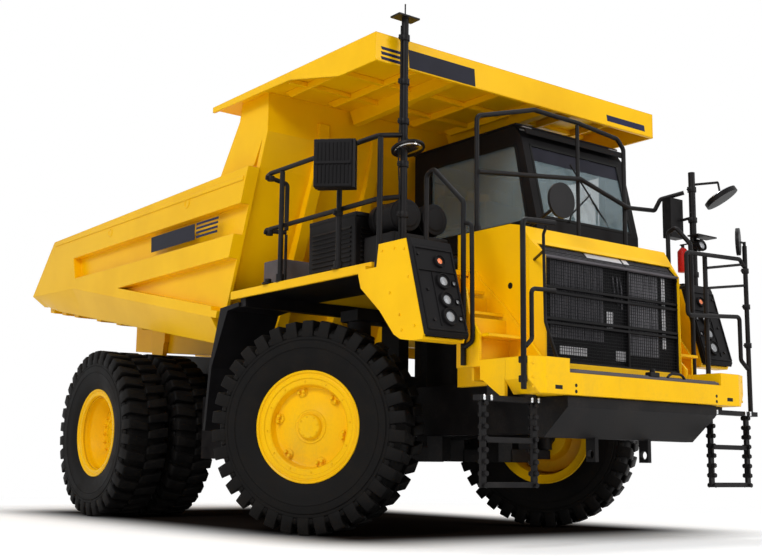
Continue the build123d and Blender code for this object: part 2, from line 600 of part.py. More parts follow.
# ---------------------------------------------------------------- nose
def nose_x(z, behind=0.0):
    """Front of the nose at a height, or a surface that far behind it: upright, then leaning back."""
    return HOOD_FRONT_X - behind - max(0.0, z - NOSE_BREAK_Z) * NOSE_LEAN


hood_side = [(HOOD_REAR_X, HOOD_Z0), (nose_x(HOOD_Z0), HOOD_Z0), (nose_x(NOSE_BREAK_Z), NOSE_BREAK_Z),
             (nose_x(2372), 2372), (3760, 2490), (3620, HOOD_TOP_Z), (HOOD_REAR_X, HOOD_TOP_Z)]
inner_hood = [(HOOD_REAR_X - 1, HOOD_Z0 - 1), (nose_x(HOOD_Z0, 30), HOOD_Z0 - 1), (nose_x(NOSE_BREAK_Z, 30), NOSE_BREAK_Z),
              (nose_x(2362, 30), 2362), (3740, 2465), (3610, HOOD_TOP_Z - 25), (HOOD_REAR_X - 1, HOOD_TOP_Z - 25)]
with BuildPart() as hood:
    side_plate(hood_side, -HOOD_HALF_W, HOOD_HALF_W)
    side_plate(inner_hood, -GRILLE_HALF_W, GRILLE_HALF_W, mode=Mode.SUBTRACT)
    box_between(HOOD_FRONT_X - 400, HOOD_FRONT_X + 1, -GRILLE_HALF_W, GRILLE_HALF_W, GRILLE_Z0, GRILLE_TOP_Z, mode=Mode.SUBTRACT)
    # bevelled front corners
    with BuildSketch(Plane.XY.offset(HOOD_Z0 - 1)):
        for _, side in SIDES:
            with BuildLine():
                Polyline((HOOD_FRONT_X - CORNER_BEVEL_X, side * HOOD_HALF_W), (HOOD_FRONT_X, side * (GRILLE_HALF_W + 2)),
                         (HOOD_FRONT_X + 1, side * (HOOD_HALF_W + 1)), (HOOD_FRONT_X - CORNER_BEVEL_X, side * (HOOD_HALF_W + 1)),
                         close=True)
            make_face()
    extrude(amount=HOOD_TOP_Z - HOOD_Z0 + 2, mode=Mode.SUBTRACT)
write(hood.part, "hood")


def grille_profile(z0, z1, proud):
    """Side-view outline of a plate in the grille, that far ahead of its recessed panel."""
    heights = [z0] + [NOSE_BREAK_Z] * (z0 < NOSE_BREAK_Z < z1) + [z1]
    return [(nose_x(z, 61 - proud), z) for z in heights] + [(nose_x(z, 91), z) for z in reversed(heights)]


with BuildPart() as grille:
    # (lower z, upper z, proud of the panel): panel, strip with the holes, two pairs of bars
    for z0, z1, proud in ((GRILLE_Z0 + GAP, GRILLE_TOP_Z - GAP, 0), (2240, GRILLE_TOP_Z - GAP, 30), (1942, 1962, 42), (1985, 2005, 42),
                          (1698, 1718, 42), (1734, 1754, 42), (GRILLE_Z0 + GAP, GRILLE_Z0 + 18, 42)):
        side_plate(grille_profile(z0, z1, proud), -GRILLE_HALF_W + GAP, GRILLE_HALF_W - GAP)
    # upright bars at the ends and between the two cores
    for y in (-GRILLE_HALF_W + GAP, 170, GRILLE_HALF_W - GAP - 16):
        side_plate(grille_profile(GRILLE_Z0 + 1, GRILLE_TOP_Z - 1, 40), y, y + 16)
write(grille.part, "grille")

with BuildPart() as radiator:
    box_between(3480, 3640, -720, 720, RAIL_Z1 + GAP, 2300)
write(radiator.part, "radiator")

# stairs beside the hood: (front x, tread height)
TREADS = ((3790, 1598), (3562, 1795), (3341, 2000))
STAIR_IN_Y = HOOD_HALF_W + 25.0
STAIR_OUT_Y = 1300.0
STAIR_PLATE = 22.0
PLATFORM_Z = BUMPER_Z1
inner_stringer = [(3060, 2185), (3060, 1900), (3700, 1260), (3960, 1260), (3960, 1440), (3560, 1870), (3300, 2100), (3240, 2185)]
outer_stringer = [(3130, 1900), (3450, 1580), (3450, 1345), (3715, 1345), (3715, 1590), (3590, 1770), (3560, 1950), (3480, 2066),
                  (3200, 2066), (3130, 2040)]
with BuildPart() as stairs:
    for _, side in SIDES:
        side_plate(inner_stringer, side * (HOOD_HALF_W + GAP), side * (STAIR_IN_Y - GAP))
        side_plate(outer_stringer, side * (STAIR_OUT_Y - STAIR_PLATE + GAP), side * STAIR_OUT_Y)
        for x, z in TREADS:
            box_between(x - 220, x, side * STAIR_IN_Y, side * (STAIR_OUT_Y - STAIR_PLATE), z - 25, z)
            box_between(x - 220, x - 195, side * STAIR_IN_Y, side * (STAIR_OUT_Y - STAIR_PLATE), z + GAP, z + 140)
        box_between(3600, 3625, side * STAIR_IN_Y, side * (STAIR_OUT_Y - STAIR_PLATE), HOOD_Z0, TREADS[0][1] - 25 - GAP)
        # platform at the foot of the stairs, with the gusset under its outer edge
        box_between(3716, 3990 - GAP, side * STAIR_IN_Y, side * STAIR_OUT_Y, HOOD_Z0, PLATFORM_Z)
        side_plate([(3740, HOOD_Z0 - GAP), (3985, HOOD_Z0 - GAP), (3985, 1110), (3940, 1110)], side * 1270, side * STAIR_OUT_Y)
write(stairs.part, "stairs")

bumper_plan = [(3990, -BUMPER_HALF_W), (4228, -BUMPER_HALF_W), (BUMPER_X, -1165), (BUMPER_X, 1165), (4228, BUMPER_HALF_W),
               (3990, BUMPER_HALF_W)]
with BuildPart() as front_bumper:
    with BuildSketch(Plane.XY.offset(BUMPER_Z0)):
        with BuildLine():
            Polyline(*bumper_plan, close=True)
        make_face()
    extrude(amount=BUMPER_Z1 - BUMPER_Z0)
    box_between(3980, BUMPER_X + 1, -917, 917, 1290, BUMPER_Z1 + 1, mode=Mode.SUBTRACT)
    for _, side in SIDES:
        front_plate([(side * 1310, 1240), (side * 1310, 1100), (side * 1195, 1100)], 3980, BUMPER_X + 1, mode=Mode.SUBTRACT)
write(front_bumper.part, "front_bumper")

skid = [(RAIL_FRONT_X, 1120), (4240, 1120), (4240, 1040), (3990, 820), (RAIL_FRONT_X, 820)]
with BuildPart() as skid_plate:
    side_plate(skid, -900, 900)
    for _, side in SIDES:
        box_between(3905, 4000, side * 300, side * 340, 640, 830)
        rod((3950, side * 290, 700), (3950, side * 350, 700), 35, mode=Mode.SUBTRACT)
write(skid_plate.part, "skid_plate")

# ---------------------------------------------------------------- decks and fenders
with BuildPart() as deck:
    box_between(DECK_REAR_X, HOOD_REAR_X - 5, -DECK_HALF_W, DECK_HALF_W, DECK_Z - DECK_T, DECK_Z)
    for _, side in SIDES:
        box_between(DECK_REAR_X, FENDER_X0 - GAP, side * (DECK_HALF_W - 25), side * DECK_HALF_W, DECK_Z - DECK_EDGE_H, DECK_Z)
        box_between(HOOD_REAR_X - 6, 3160, side * (HOOD_HALF_W + 30), side * (STAIR_OUT_Y + 2 * TUBE_R + 2), DECK_Z - DECK_T, DECK_Z)
write(deck.part, "deck")

fender_outline = [(FENDER_X0, DECK_Z - DECK_T - GAP), (2984, DECK_Z - DECK_T - GAP), (2986, FENDER_TOP_Z), (3125, FENDER_TOP_Z),
                  (3150, FENDER_RAIL_Z), (3489, FENDER_RAIL_Z), (3705, 1552), (3690, 1512), (3560, 1512), (3430, 1532),
                  (3350, 1575), (3174, 1770), (2925, 1975), (FENDER_X0, 2080)]
fender_hollow = [(FENDER_X0 - 1, FENDER_TOP_Z - 22), (3130, FENDER_TOP_Z - 22), (3165, 2265), (3850, 2270), (3850, 1534),
                 (3562, 1534), (3438, 1552), (3364, 1590), (3188, 1785), (2940, 1990), (FENDER_X0 - 1, 2095)]
with BuildPart() as fenders:
    for _, side in SIDES:
        side_plate(fender_outline, side * FENDER_IN_Y, side * FENDER_HALF_W)
        side_plate(fender_hollow, side * (FENDER_IN_Y + 20), side * (FENDER_HALF_W - 20), mode=Mode.SUBTRACT)
write(fenders.part, "fenders")

pod_outline = [(3489.5, 2300), (3530, 2300), (3550, 2255), (3748, 1570), (3735, 1535), (3705.5, 1552)]
POD_LEAN = (3748 - 3550) / (2255 - 1570)
# lamps of a pod, from the top: (z, radius)
POD_LAMPS = ((2128, 42), (1968, 56), (1822, 56), (1690, 62))
with BuildPart() as headlamp_pods:
    for _, side in SIDES:
        side_plate(pod_outline, side * (FENDER_IN_Y + 2), side * (FENDER_HALF_W - 4))
        for z, r in POD_LAMPS:
            x = 3550 + (2255 - z) * POD_LEAN
            rod((x - 20, side * 1605, z - 6), (x + 14, side * 1605, z + 4), r)
write(headlamp_pods.part, "headlamp_pods")

flap = [(560, 2035), (560, 2060), (905 - GAP, 2085), (905 - GAP, 2045), (700, 2025), (430, 1500), (350, 900), (310, 900),
        (390, 1520)]
with BuildPart() as mud_flaps:
    for _, side in SIDES:
        side_plate(flap, side * 1185, side * 1760)
write(mud_flaps.part, "mud_flaps")

# ---------------------------------------------------------------- cab
CAB_BASE_Z = DECK_Z + GAP
SILL_Z = 2810.0
cab_outline = [(CAB_X0, CAB_BASE_Z), (CAB_X1, CAB_BASE_Z), (CAB_X1, SILL_Z), (CAB_X1 - 190, 3620), (CAB_X1 - 280, CAB_ROOF_Z),
               (CAB_X0, CAB_ROOF_Z)]
cab_inside = [(CAB_X0 + CAB_WALL, CAB_BASE_Z + CAB_WALL), (CAB_X1 - CAB_WALL, CAB_BASE_Z + CAB_WALL),
              (CAB_X1 - CAB_WALL, SILL_Z - 6), (CAB_X1 - 235, 3600), (CAB_X1 - 310, CAB_ROOF_Z - CAB_WALL),
              (CAB_X0 + CAB_WALL, CAB_ROOF_Z - CAB_WALL)]
DOOR_X0, DOOR_X1 = 1720.0, 2620.0
DOOR_Z0, DOOR_Z1 = CAB_BASE_Z + 60, 3600.0
door_hole = [(DOOR_X0, DOOR_Z0), (DOOR_X1, DOOR_Z0), (DOOR_X1, DOOR_Z1), (DOOR_X0, DOOR_Z1)]
side_window = [(1500, SILL_Z), (CAB_X1 - 120, SILL_Z), (CAB_X1 - 270, 3560), (1500, 3560)]
HINGE_X, HINGE_Y, HINGE_PIN_R = 1712.0, CAB_Y1 + 20, 10.0
HINGE_Z = (2480, 3320)
with BuildPart() as cab_shell:
    side_plate(cab_outline, CAB_Y0, CAB_Y1)
    side_plate(cab_inside, CAB_Y0 + CAB_WALL, CAB_Y1 - CAB_WALL, mode=Mode.SUBTRACT)
    side_plate(side_window, CAB_Y0 - 1, CAB_Y0 + CAB_WALL + 1, mode=Mode.SUBTRACT)
    side_plate(door_hole, CAB_Y1 - CAB_WALL - 1, CAB_Y1 + 1, mode=Mode.SUBTRACT)
    box_between(CAB_X1 - 330, CAB_X1 + 1, CAB_Y0 + 90, CAB_Y1 - 90, SILL_Z + 30, 3560, mode=Mode.SUBTRACT)
    box_between(CAB_X0 - 1, CAB_X0 + CAB_WALL + 1, CAB_Y0 + 200, CAB_Y1 - 200, 2950, 3500, mode=Mode.SUBTRACT)
    for z in HINGE_Z:
        rod((HINGE_X, HINGE_Y, z - 56), (HINGE_X, HINGE_Y, z + 56), HINGE_PIN_R)
        for low in (z - 56, z + 41):
            box_between(HINGE_X - 22, HINGE_X + 8, CAB_Y1 - 1, HINGE_Y + 10, low, low + 15)
write(cab_shell.part, "cab_shell")

DOOR_GAP = 6.0
with BuildPart() as cab_door:
    box_between(DOOR_X0 + DOOR_GAP, DOOR_X1 - DOOR_GAP, CAB_Y1 - CAB_WALL, CAB_Y1, DOOR_Z0 + DOOR_GAP, DOOR_Z1 - DOOR_GAP)
    box_between(DOOR_X0 + 90, DOOR_X1 - 90, CAB_Y1 - CAB_WALL - 1, CAB_Y1 + 1, SILL_Z, DOOR_Z1 - 90, mode=Mode.SUBTRACT)
    for z in HINGE_Z:
        rod((HINGE_X, HINGE_Y, z - 40), (HINGE_X, HINGE_Y, z + 40), 18)
        box_between(HINGE_X, DOOR_X0 + 70, HINGE_Y - 14, HINGE_Y - 4, z - 40, z + 40)
        box_between(DOOR_X0 + 16, DOOR_X0 + 70, CAB_Y1 - 1, HINGE_Y - 10, z - 40, z + 40)
    for z in HINGE_Z:
        rod((HINGE_X, HINGE_Y, z - 41), (HINGE_X, HINGE_Y, z + 41), HINGE_PIN_R + GAP, mode=Mode.SUBTRACT)
write(cab_door.part, "cab_door")
with BuildPart() as door_glass:
    box_between(DOOR_X0 + 90 + GAP, DOOR_X1 - 90 - GAP, CAB_Y1 - 30, CAB_Y1 - 22, SILL_Z + GAP, DOOR_Z1 - 90 - GAP)
write(door_glass.part, "door_glass")
SCREEN_Z0, SCREEN_Z1 = SILL_Z + 30 + GAP, 3560 - GAP
screen = [(CAB_X1 - 20, SCREEN_Z0), (CAB_X1 - 12, SCREEN_Z0), (CAB_X1 - 184, SCREEN_Z1), (CAB_X1 - 192, SCREEN_Z1)]
with BuildPart() as cab_glass:
    side_plate(screen, CAB_Y0 + 90 + GAP, CAB_Y1 - 90 - GAP)
    side_plate([(x + dx, z + dz) for (x, z), dx, dz in zip(side_window, (GAP, -GAP, -GAP, GAP), (GAP, GAP, -GAP, -GAP))],
               CAB_Y0 + 20, CAB_Y0 + 28)
    box_between(CAB_X0 + 20, CAB_X0 + 28, CAB_Y0 + 200 + GAP, CAB_Y1 - 200 - GAP, 2950 + GAP, 3500 - GAP)
write(cab_glass.part, "cab_glass")

with BuildPart() as cab_seats:
    # (middle y, width, front x) of the operator's seat and the trainer's seat
    for y, width, front in ((860, 520, 2250), (340, 420, 2150)):
        box_between(front - 520, front, y - width / 2, y + width / 2, 2560, 2690)
        box_between(front - 620, front - 500, y - width / 2, y + width / 2, 2600, 3280)
        box_between(front - 460, front - 80, y - 160, y + 160, CAB_BASE_Z + CAB_WALL + GAP, 2570)
write(cab_seats.part, "cab_seats")

with BuildPart() as cab_dash:
    box_between(2620, CAB_X1 - CAB_WALL - GAP, CAB_Y0 + CAB_WALL + GAP, CAB_Y1 - CAB_WALL - GAP, CAB_BASE_Z + CAB_WALL + GAP, 2800)
    rod((2640, 860, 2740), (2466, 860, 2914), 30)
    with Locations(Plane(origin=(2470, 860, 2910), z_dir=(-1, 0, 1))):
        Torus(200, 18)
        Box(380, 36, 16)
write(cab_dash.part, "cab_dash")

# ---------------------------------------------------------------- rails, ladders, mirrors
RAIL_TOP_Z = 3222.0
RAIL_MID_Z = 2715.0
RAIL_SIDE_Y = DECK_HALF_W - 20.0
POST_R = 23.0
POST_X = 2500.0
BACK_Y = RAIL_SIDE_Y - 240.0
MAST_X, MAST_Y, MAST_R = 3045.0, -RAIL_SIDE_Y + 250, 30.0
SOCKET_H = 70.0
MID_Y = RAIL_SIDE_Y - POST_R - TUBE_R - GAP
with BuildPart() as deck_rails:
    # right deck: top rail over its posts, mid rail along their inner side
    under = RAIL_TOP_Z - TUBE_R - GAP
    pipe([(1330, -BACK_Y, RAIL_MID_Z + TUBE_R + GAP), (1330, -BACK_Y, 3175), (1290, -RAIL_SIDE_Y + 40, RAIL_TOP_Z),
          (1420, -RAIL_SIDE_Y, RAIL_TOP_Z), (3030, -RAIL_SIDE_Y, RAIL_TOP_Z), (MAST_X, MAST_Y - MAST_R - 6, RAIL_TOP_Z + 40)], TUBE_R, 35)
    pipe([(1330, -BACK_Y, RAIL_MID_Z), (1270, -MID_Y, RAIL_MID_Z), (2970, -MID_Y, RAIL_MID_Z), (MAST_X - 10, MAST_Y - MAST_R - 6, RAIL_MID_Z + 30)],
         TUBE_R, 30)
    for x, foot in ((1615, DECK_Z + GAP), (POST_X, DECK_Z + GAP), (3055, FENDER_TOP_Z + GAP)):
        rod((x, -RAIL_SIDE_Y, foot), (x, -RAIL_SIDE_Y, foot + SOCKET_H), POST_R + 14)
        rod((x, -RAIL_SIDE_Y, foot + SOCKET_H + GAP), (x, -RAIL_SIDE_Y, under), POST_R)
    rod((1330, -BACK_Y, DECK_Z + GAP), (1330, -BACK_Y, RAIL_MID_Z - TUBE_R - GAP), 14)
    # left deck, behind the door
    for z in (RAIL_TOP_Z, RAIL_MID_Z):
        pipe([(1100, 1500, z), (1100, RAIL_SIDE_Y, z), (1600, RAIL_SIDE_Y, z)], TUBE_R, 60)
    for x, y in ((1100, 1520), (1620 + POST_R, RAIL_SIDE_Y)):
        top = RAIL_MID_Z - TUBE_R - GAP if y < RAIL_SIDE_Y else RAIL_TOP_Z + TUBE_R
        rod((x, y, DECK_Z + GAP), (x, y, top), POST_R)
    rod((1100, 1520, RAIL_MID_Z + TUBE_R + GAP), (1100, 1520, under), POST_R)
write(deck_rails.part, "deck_rails")

GUARD_X = 3130.0
GUARD_TOP_Z = 3755.0
GUARD_MID_Z = 3140.0
GUARD_Y0, GUARD_Y1 = -790.0, 1110.0
with BuildPart() as cab_guard_rail:
    hood_top = HOOD_TOP_Z + GAP
    pipe([(GUARD_X, GUARD_Y0, hood_top + SOCKET_H + GAP), (GUARD_X, GUARD_Y0, 3560), (GUARD_X, -95, GUARD_TOP_Z),
          (GUARD_X, 477, GUARD_TOP_Z - 10), (GUARD_X, 1022, 3696), (GUARD_X, GUARD_Y1, 3610), (GUARD_X, GUARD_Y1, DECK_Z + GAP)],
         TUBE_R, 60)
    rod((GUARD_X, GUARD_Y0, hood_top), (GUARD_X, GUARD_Y0, hood_top + SOCKET_H), POST_R + 10)
    pipe([(GUARD_X + 42 + GAP, GUARD_Y0 - 20, 3056), (GUARD_X + 42 + GAP, 455, 3200), (GUARD_X + 42 + GAP, GUARD_Y1, 3030),
          (GUARD_X + 42 + GAP, 1500, 3060), (GUARD_X + 60, 1570, 3180), (3380, LEFT_POST_Y - 32, 3230)], TUBE_R, 35)
    rod((GUARD_X, 466, hood_top), (GUARD_X, 466, GUARD_TOP_Z - 10 - TUBE_R - 4), TUBE_R - 3)
write(cab_guard_rail.part, "cab_guard_rail")

# handrails of the stairs and the platforms
RAIL_X = 4030.0
CORNER_RAIL_X = 4205.0
HOOP_Y = 835.0
HOOP_R = 19.0
GATE_TOP_Z = 2480.0
with BuildPart() as front_handrails:
    # hoops on the outer stringers: (side, front x, front top z, rear x, rear top z, foot of the front leg, of the rear leg)
    for side, front, high, rear, peak, low, back in ((-1, 3552, 2655, 3100, 2970, 1361, DECK_Z + GAP),
                                                     (1, 3712, 2630, 3462, 2792, 1420, 1650)):
        y = side * (STAIR_OUT_Y + TUBE_R + GAP)
        pipe([(front, y, low), (front, y, high), (rear + 90, y, peak + 16), (rear, y, peak - 16), (rear, y, back)], TUBE_R, 50)
    y = -STAIR_OUT_Y - TUBE_R - GAP
    pipe([(3552 + TUBE_R + GAP, y, 2480), (3648, y, 2455), (3658, y, 1540), (3552 + TUBE_R + GAP, y, 1500)], TUBE_R - 3, 45)
    # right: post on the bumper's corner with its upper and lower grab bars, and the thin post beside the grille
    x, y = CORNER_RAIL_X, -BUMPER_HALF_W - TUBE_R - GAP
    rod((x, y, 1150), (x, y, 2340), TUBE_R)
    pipe([(x, y, 2340 + GAP), (x, y, 2404), (x, -985, 2424)], TUBE_R, 45)
    pipe([(x, y + TUBE_R + GAP, 1462), (x, -1235, 1520), (x, -1235, 1895), (x, -985, 1905)], TUBE_R - 4, 40)
    pipe([(x - 33, -938, BUMPER_Z1 + 5), (x - 33, -1058, 1665), (x - 33, -1070, 2330), (x, -1070, 2388)], 12, 40)
    rod((3877, -868, 2200), (x - 47, -1062, 2200), 11)
    # left: post on the ladder's bar, with a hoop
    near = OUTER_POST_Y - TUBE_R - GAP
    rod((RAIL_X, OUTER_POST_Y, LADDER_BAR_Z + 40 + GAP), (RAIL_X, OUTER_POST_Y, 2610), TUBE_R)
    pipe([(RAIL_X, near, GATE_TOP_Z - 60), (RAIL_X, near - 60, GATE_TOP_Z), (RAIL_X, HOOP_Y, GATE_TOP_Z - 30), (RAIL_X, HOOP_Y, 1900),
          (RAIL_X, near - 95, 1950), (RAIL_X, near - 95, 1560), (RAIL_X, near, 1490)], HOOP_R, 36)
    # inner post of the left platform and the two bars across it
    behind = RAIL_X - HOOP_R - TUBE_R - GAP
    rod((behind, 1150, PLATFORM_Z + GAP), (behind, 1150, 2466), TUBE_R)
    for y, z0, z1 in ((1150, 2350, 2440), (1150, 2170, 2245)):
        rod((behind + TUBE_R + 2, y, z0), (RAIL_X - 2, OUTER_POST_Y - TUBE_R - 2, z1), 12)
    # foot that holds the hoop to the hood
    rod((HOOD_FRONT_X - 18, HOOP_Y + 15, 2150), (RAIL_X - HOOP_R, HOOP_Y + 15, 2150), 14)
write(front_handrails.part, "front_handrails")

RUNG = 40.0
LINK_W = 50.0
LINKS, LINK_LAP = 7, 34.0
LADDER_BAR_Y = 1640.0
with BuildPart() as ladders:
    for _, side in SIDES:
        for y in (LADDER_Y0 + LINK_W / 2, LADDER_Y1 - LINK_W / 2):
            step = (LADDER_BAR_Z - GAP - LADDER_FOOT_Z - LINK_LAP) / LINKS
            for link in range(LINKS):
                wide, thick = (LINK_W / 2, 11) if link % 2 else (13, LINK_W / 2)
                z = LADDER_FOOT_Z + link * step
                box_between(LADDER_X - wide, LADDER_X + wide, side * (y - thick), side * (y + thick), z, z + step + LINK_LAP)
        for z in (LADDER_FOOT_Z, 765):
            box_between(LADDER_X - RUNG / 2, LADDER_X + RUNG / 2, side * (LADDER_Y0 + LINK_W + GAP), side * (LADDER_Y1 - LINK_W - GAP), z, z + RUNG)
        box_between(LADDER_X - 40, LADDER_X + 30, side * 1000, side * (LADDER_BAR_Y if side < 0 else OUTER_POST_Y + 30), LADDER_BAR_Z, LADDER_BAR_Z + 40)
        box_between(LADDER_X - 20, LADDER_X + 40, side * 1080, side * 1190, LADDER_BAR_Z + 40 + GAP, BUMPER_Z0 - GAP)
write(ladders.part, "ladders")

MIRROR_X, MIRROR_TURN = 2705.0, -45.0
with BuildPart() as mirrors:
    # boxed mirror outside the right deck's rail, turned to the driver, on two arms from its post
    mirror_y = -RAIL_SIDE_Y - 180
    with Locations(Location((MIRROR_X, mirror_y, 3013), (0, 0, MIRROR_TURN))):
        Box(110, 322, 404)
    for z in (2900, 3130):
        rod((POST_X + 2, -RAIL_SIDE_Y - POST_R - 9, z), (MIRROR_X - 30, mirror_y + 30, z), 12)
    # round mirror on the nose, over the grille
    rod((3570, -620, HOOD_TOP_Z + GAP), (3570, -620, 2560), 26)
    rod((3570, -620, 2545), (3940, -620, 2680), 14)
    rod((3925, -620, 2700), (3950, -620, 2700), 145)
    # boxed mirror, round mirrors and lamp on the left side's post
    rod((LEFT_POST_X, LEFT_POST_Y, FENDER_RAIL_Z + GAP), (LEFT_POST_X, LEFT_POST_Y, 3420), 32)
    box_between(3250, 3350, 1520, 1705, 2780, 3165)
    rod((3300, 1690, 2960), (LEFT_POST_X, LEFT_POST_Y, 2980), 14)
    rod((LEFT_POST_X, LEFT_POST_Y, 3300), (3600, 1930, 3330), 12)
    rod((3595, 1935, 3330), (3612, 1948, 3190), 10)
    rod((3605, 1943, 3200), (3625, 1957, 3160), 165)
    rod((LEFT_POST_X, LEFT_POST_Y, 2720), (3530, LEFT_POST_Y, 2690), 55)
    box_between(3480, 3600, 1590, 1880, 2770, 2784)
    # round mirror on top of the left front post
    rod((RAIL_X, OUTER_POST_Y, 2610 + GAP), (RAIL_X, OUTER_POST_Y, 2650), 14)
    rod((RAIL_X, OUTER_POST_Y, 2640), (RAIL_X, 1600, 2640), 10)
    rod((RAIL_X - 14, 1590, 2640), (RAIL_X + 14, 1606, 2640), 125)
write(mirrors.part, "mirrors")

MAST_TOP_Z = 4270.0
with BuildPart() as mast:
    rod((MAST_X, MAST_Y, FENDER_TOP_Z + GAP), (MAST_X, MAST_Y, MAST_TOP_Z), MAST_R)
    box_between(MAST_X - 60, MAST_X + 60, MAST_Y - 110, MAST_Y + 110, MAST_TOP_Z, MAST_TOP_Z + 14)
    rod((MAST_X, MAST_Y, MAST_TOP_Z + 14), (MAST_X, MAST_Y, MAST_TOP_Z + 130), 6)
    # disc mirror on its arm
    rod((MAST_X, MAST_Y, 3300), (MAST_X + 60, MAST_Y, 3180), 12)
    rod((MAST_X + 50, MAST_Y, 3152), (MAST_X + 55, MAST_Y, 3134), 140)
write(mast.part, "mast")

with BuildPart() as deck_equipment:
    # (x, x, y, y, height) of the louvred box, the batteries, the air cleaner and the tool box
    for x0, x1, y0, y1, height in ((1750, 2450, -1560, -1000, 530), (2480, 2900, -1500, -900, 610),
                                   (1250, 1700, -900, -450, 710), (900, 1200, -1500, -1150, 310)):
        box_between(x0, x1, y0, y1, DECK_Z, DECK_Z + height)
write(deck_equipment.part, "deck_equipment")
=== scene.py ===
"""Looks for a rigid mining dump truck: finishes, added pieces, camera, lights and floor.

Metres, X forward, Y to the truck's left, Z up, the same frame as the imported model.
"""
import math

import bmesh
import bpy
from mathutils import Matrix, Vector


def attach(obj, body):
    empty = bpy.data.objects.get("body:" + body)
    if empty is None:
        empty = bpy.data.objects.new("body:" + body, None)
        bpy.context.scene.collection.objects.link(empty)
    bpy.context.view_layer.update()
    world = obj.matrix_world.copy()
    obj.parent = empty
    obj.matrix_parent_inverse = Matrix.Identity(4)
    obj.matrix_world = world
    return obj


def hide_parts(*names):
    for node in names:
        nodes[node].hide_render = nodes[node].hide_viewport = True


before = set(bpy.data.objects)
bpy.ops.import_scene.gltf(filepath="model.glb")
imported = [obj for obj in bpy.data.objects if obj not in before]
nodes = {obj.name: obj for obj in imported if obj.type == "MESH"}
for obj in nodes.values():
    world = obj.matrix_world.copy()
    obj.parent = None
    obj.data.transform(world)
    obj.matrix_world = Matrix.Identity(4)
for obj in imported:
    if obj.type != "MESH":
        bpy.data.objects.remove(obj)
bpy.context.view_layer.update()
SIDES = (("right", -1), ("left", 1))


# ------------------------------ shader maths
class Signal:
    """A socket in a material, on which arithmetic adds Math nodes."""

    def __init__(self, finish, socket):
        self.finish, self.socket = finish, socket

    def math(self, operation, *others):
        values = [self, *others]
        return self.finish.add("ShaderNodeMath", {"operation": operation}, dict(enumerate(values)))

    def __add__(self, other):
        return self.math("ADD", other)

    def __radd__(self, other):
        return self.math("ADD", other)

    def __sub__(self, other):
        return self.math("SUBTRACT", other)

    def __rsub__(self, other):
        return self.finish.add("ShaderNodeMath", {"operation": "SUBTRACT"}, {0: other, 1: self})

    def __mul__(self, other):
        return self.math("MULTIPLY", other)

    def __rmul__(self, other):
        return self.math("MULTIPLY", other)

    def clamped(self):
        return self.finish.add("ShaderNodeClamp", {}, {0: self})

    def between(self, low, high):
        """0 below low, 1 above high, smooth in between."""
        settings = {"interpolation_type": "SMOOTHSTEP"}
        return self.finish.add("ShaderNodeMapRange", settings, {0: self, 1: low, 2: high, 3: 0.0, 4: 1.0})


class Finish:
    """A material, or the world, under construction."""

    def __init__(self, name, keeper=bpy.data.materials, ending="ShaderNodeOutputMaterial"):
        self.material = keeper.new(name)
        self.material.use_nodes = True
        self.tree = self.material.node_tree
        self.tree.nodes.clear()
        self.out = self.tree.nodes.new(ending)
        self.place = self.add("ShaderNodeTexCoord", {}, {}, "Object")

    def add(self, kind, settings=None, sockets=None, output=0):
        """Adds a node: its settings first, then the values or links of its sockets."""
        node = self.tree.nodes.new(kind)
        for key, value in (settings or {}).items():
            setattr(node, key, value)
        for key, value in (sockets or {}).items():
            if isinstance(value, Signal):
                self.tree.links.new(value.socket, node.inputs[key])
            else:
                node.inputs[key].default_value = value
        return Signal(self, node.outputs[output])

    def noise(self, scale, detail, roughness, stretch=(1, 1, 1)):
        place = self.place
        if stretch != (1, 1, 1):
            place = self.add("ShaderNodeMapping", {}, {"Vector": place, "Scale": stretch})
        sockets = {"Vector": place, "Scale": scale, "Detail": detail, "Roughness": roughness}
        return self.add("ShaderNodeTexNoise", {}, sockets)

    def axis(self, index):
        return self.add("ShaderNodeSeparateXYZ", {}, {0: self.place}, index)

    def mix(self, factor, low, high):
        """Mixes two colours."""
        def colour(value):
            return value if isinstance(value, Signal) else (*value, 1)
        sockets = {0: factor, 6: colour(low), 7: colour(high)}
        return self.add("ShaderNodeMix", {"data_type": "RGBA"}, sockets, 2)

    def rounded(self, radius):
        return self.add("ShaderNodeBevel", {"samples": 4}, {"Radius": radius})

    def bump(self, height, strength, distance, normal=None):
        sockets = {"Height": height, "Strength": strength, "Distance": distance}
        if normal is not None:
            sockets["Normal"] = normal
        return self.add("ShaderNodeBump", {}, sockets)

    def surface(self, colour, roughness, normal=None, metallic=0.0, coat=0.0, **extra):
        """Ends the material in one Principled shader."""
        sockets = {"Base Color": colour if isinstance(colour, Signal) else (*colour, 1),
                   "Roughness": roughness,
                   "Metallic": metallic, "Coat Weight": coat, **extra}
        if normal is not None:
            sockets["Normal"] = normal
        return self.ended(self.add("ShaderNodeBsdfPrincipled", {}, sockets))

    def ended(self, shader):
        self.tree.links.new(shader.socket, self.out.inputs["Surface"])
        return self.material


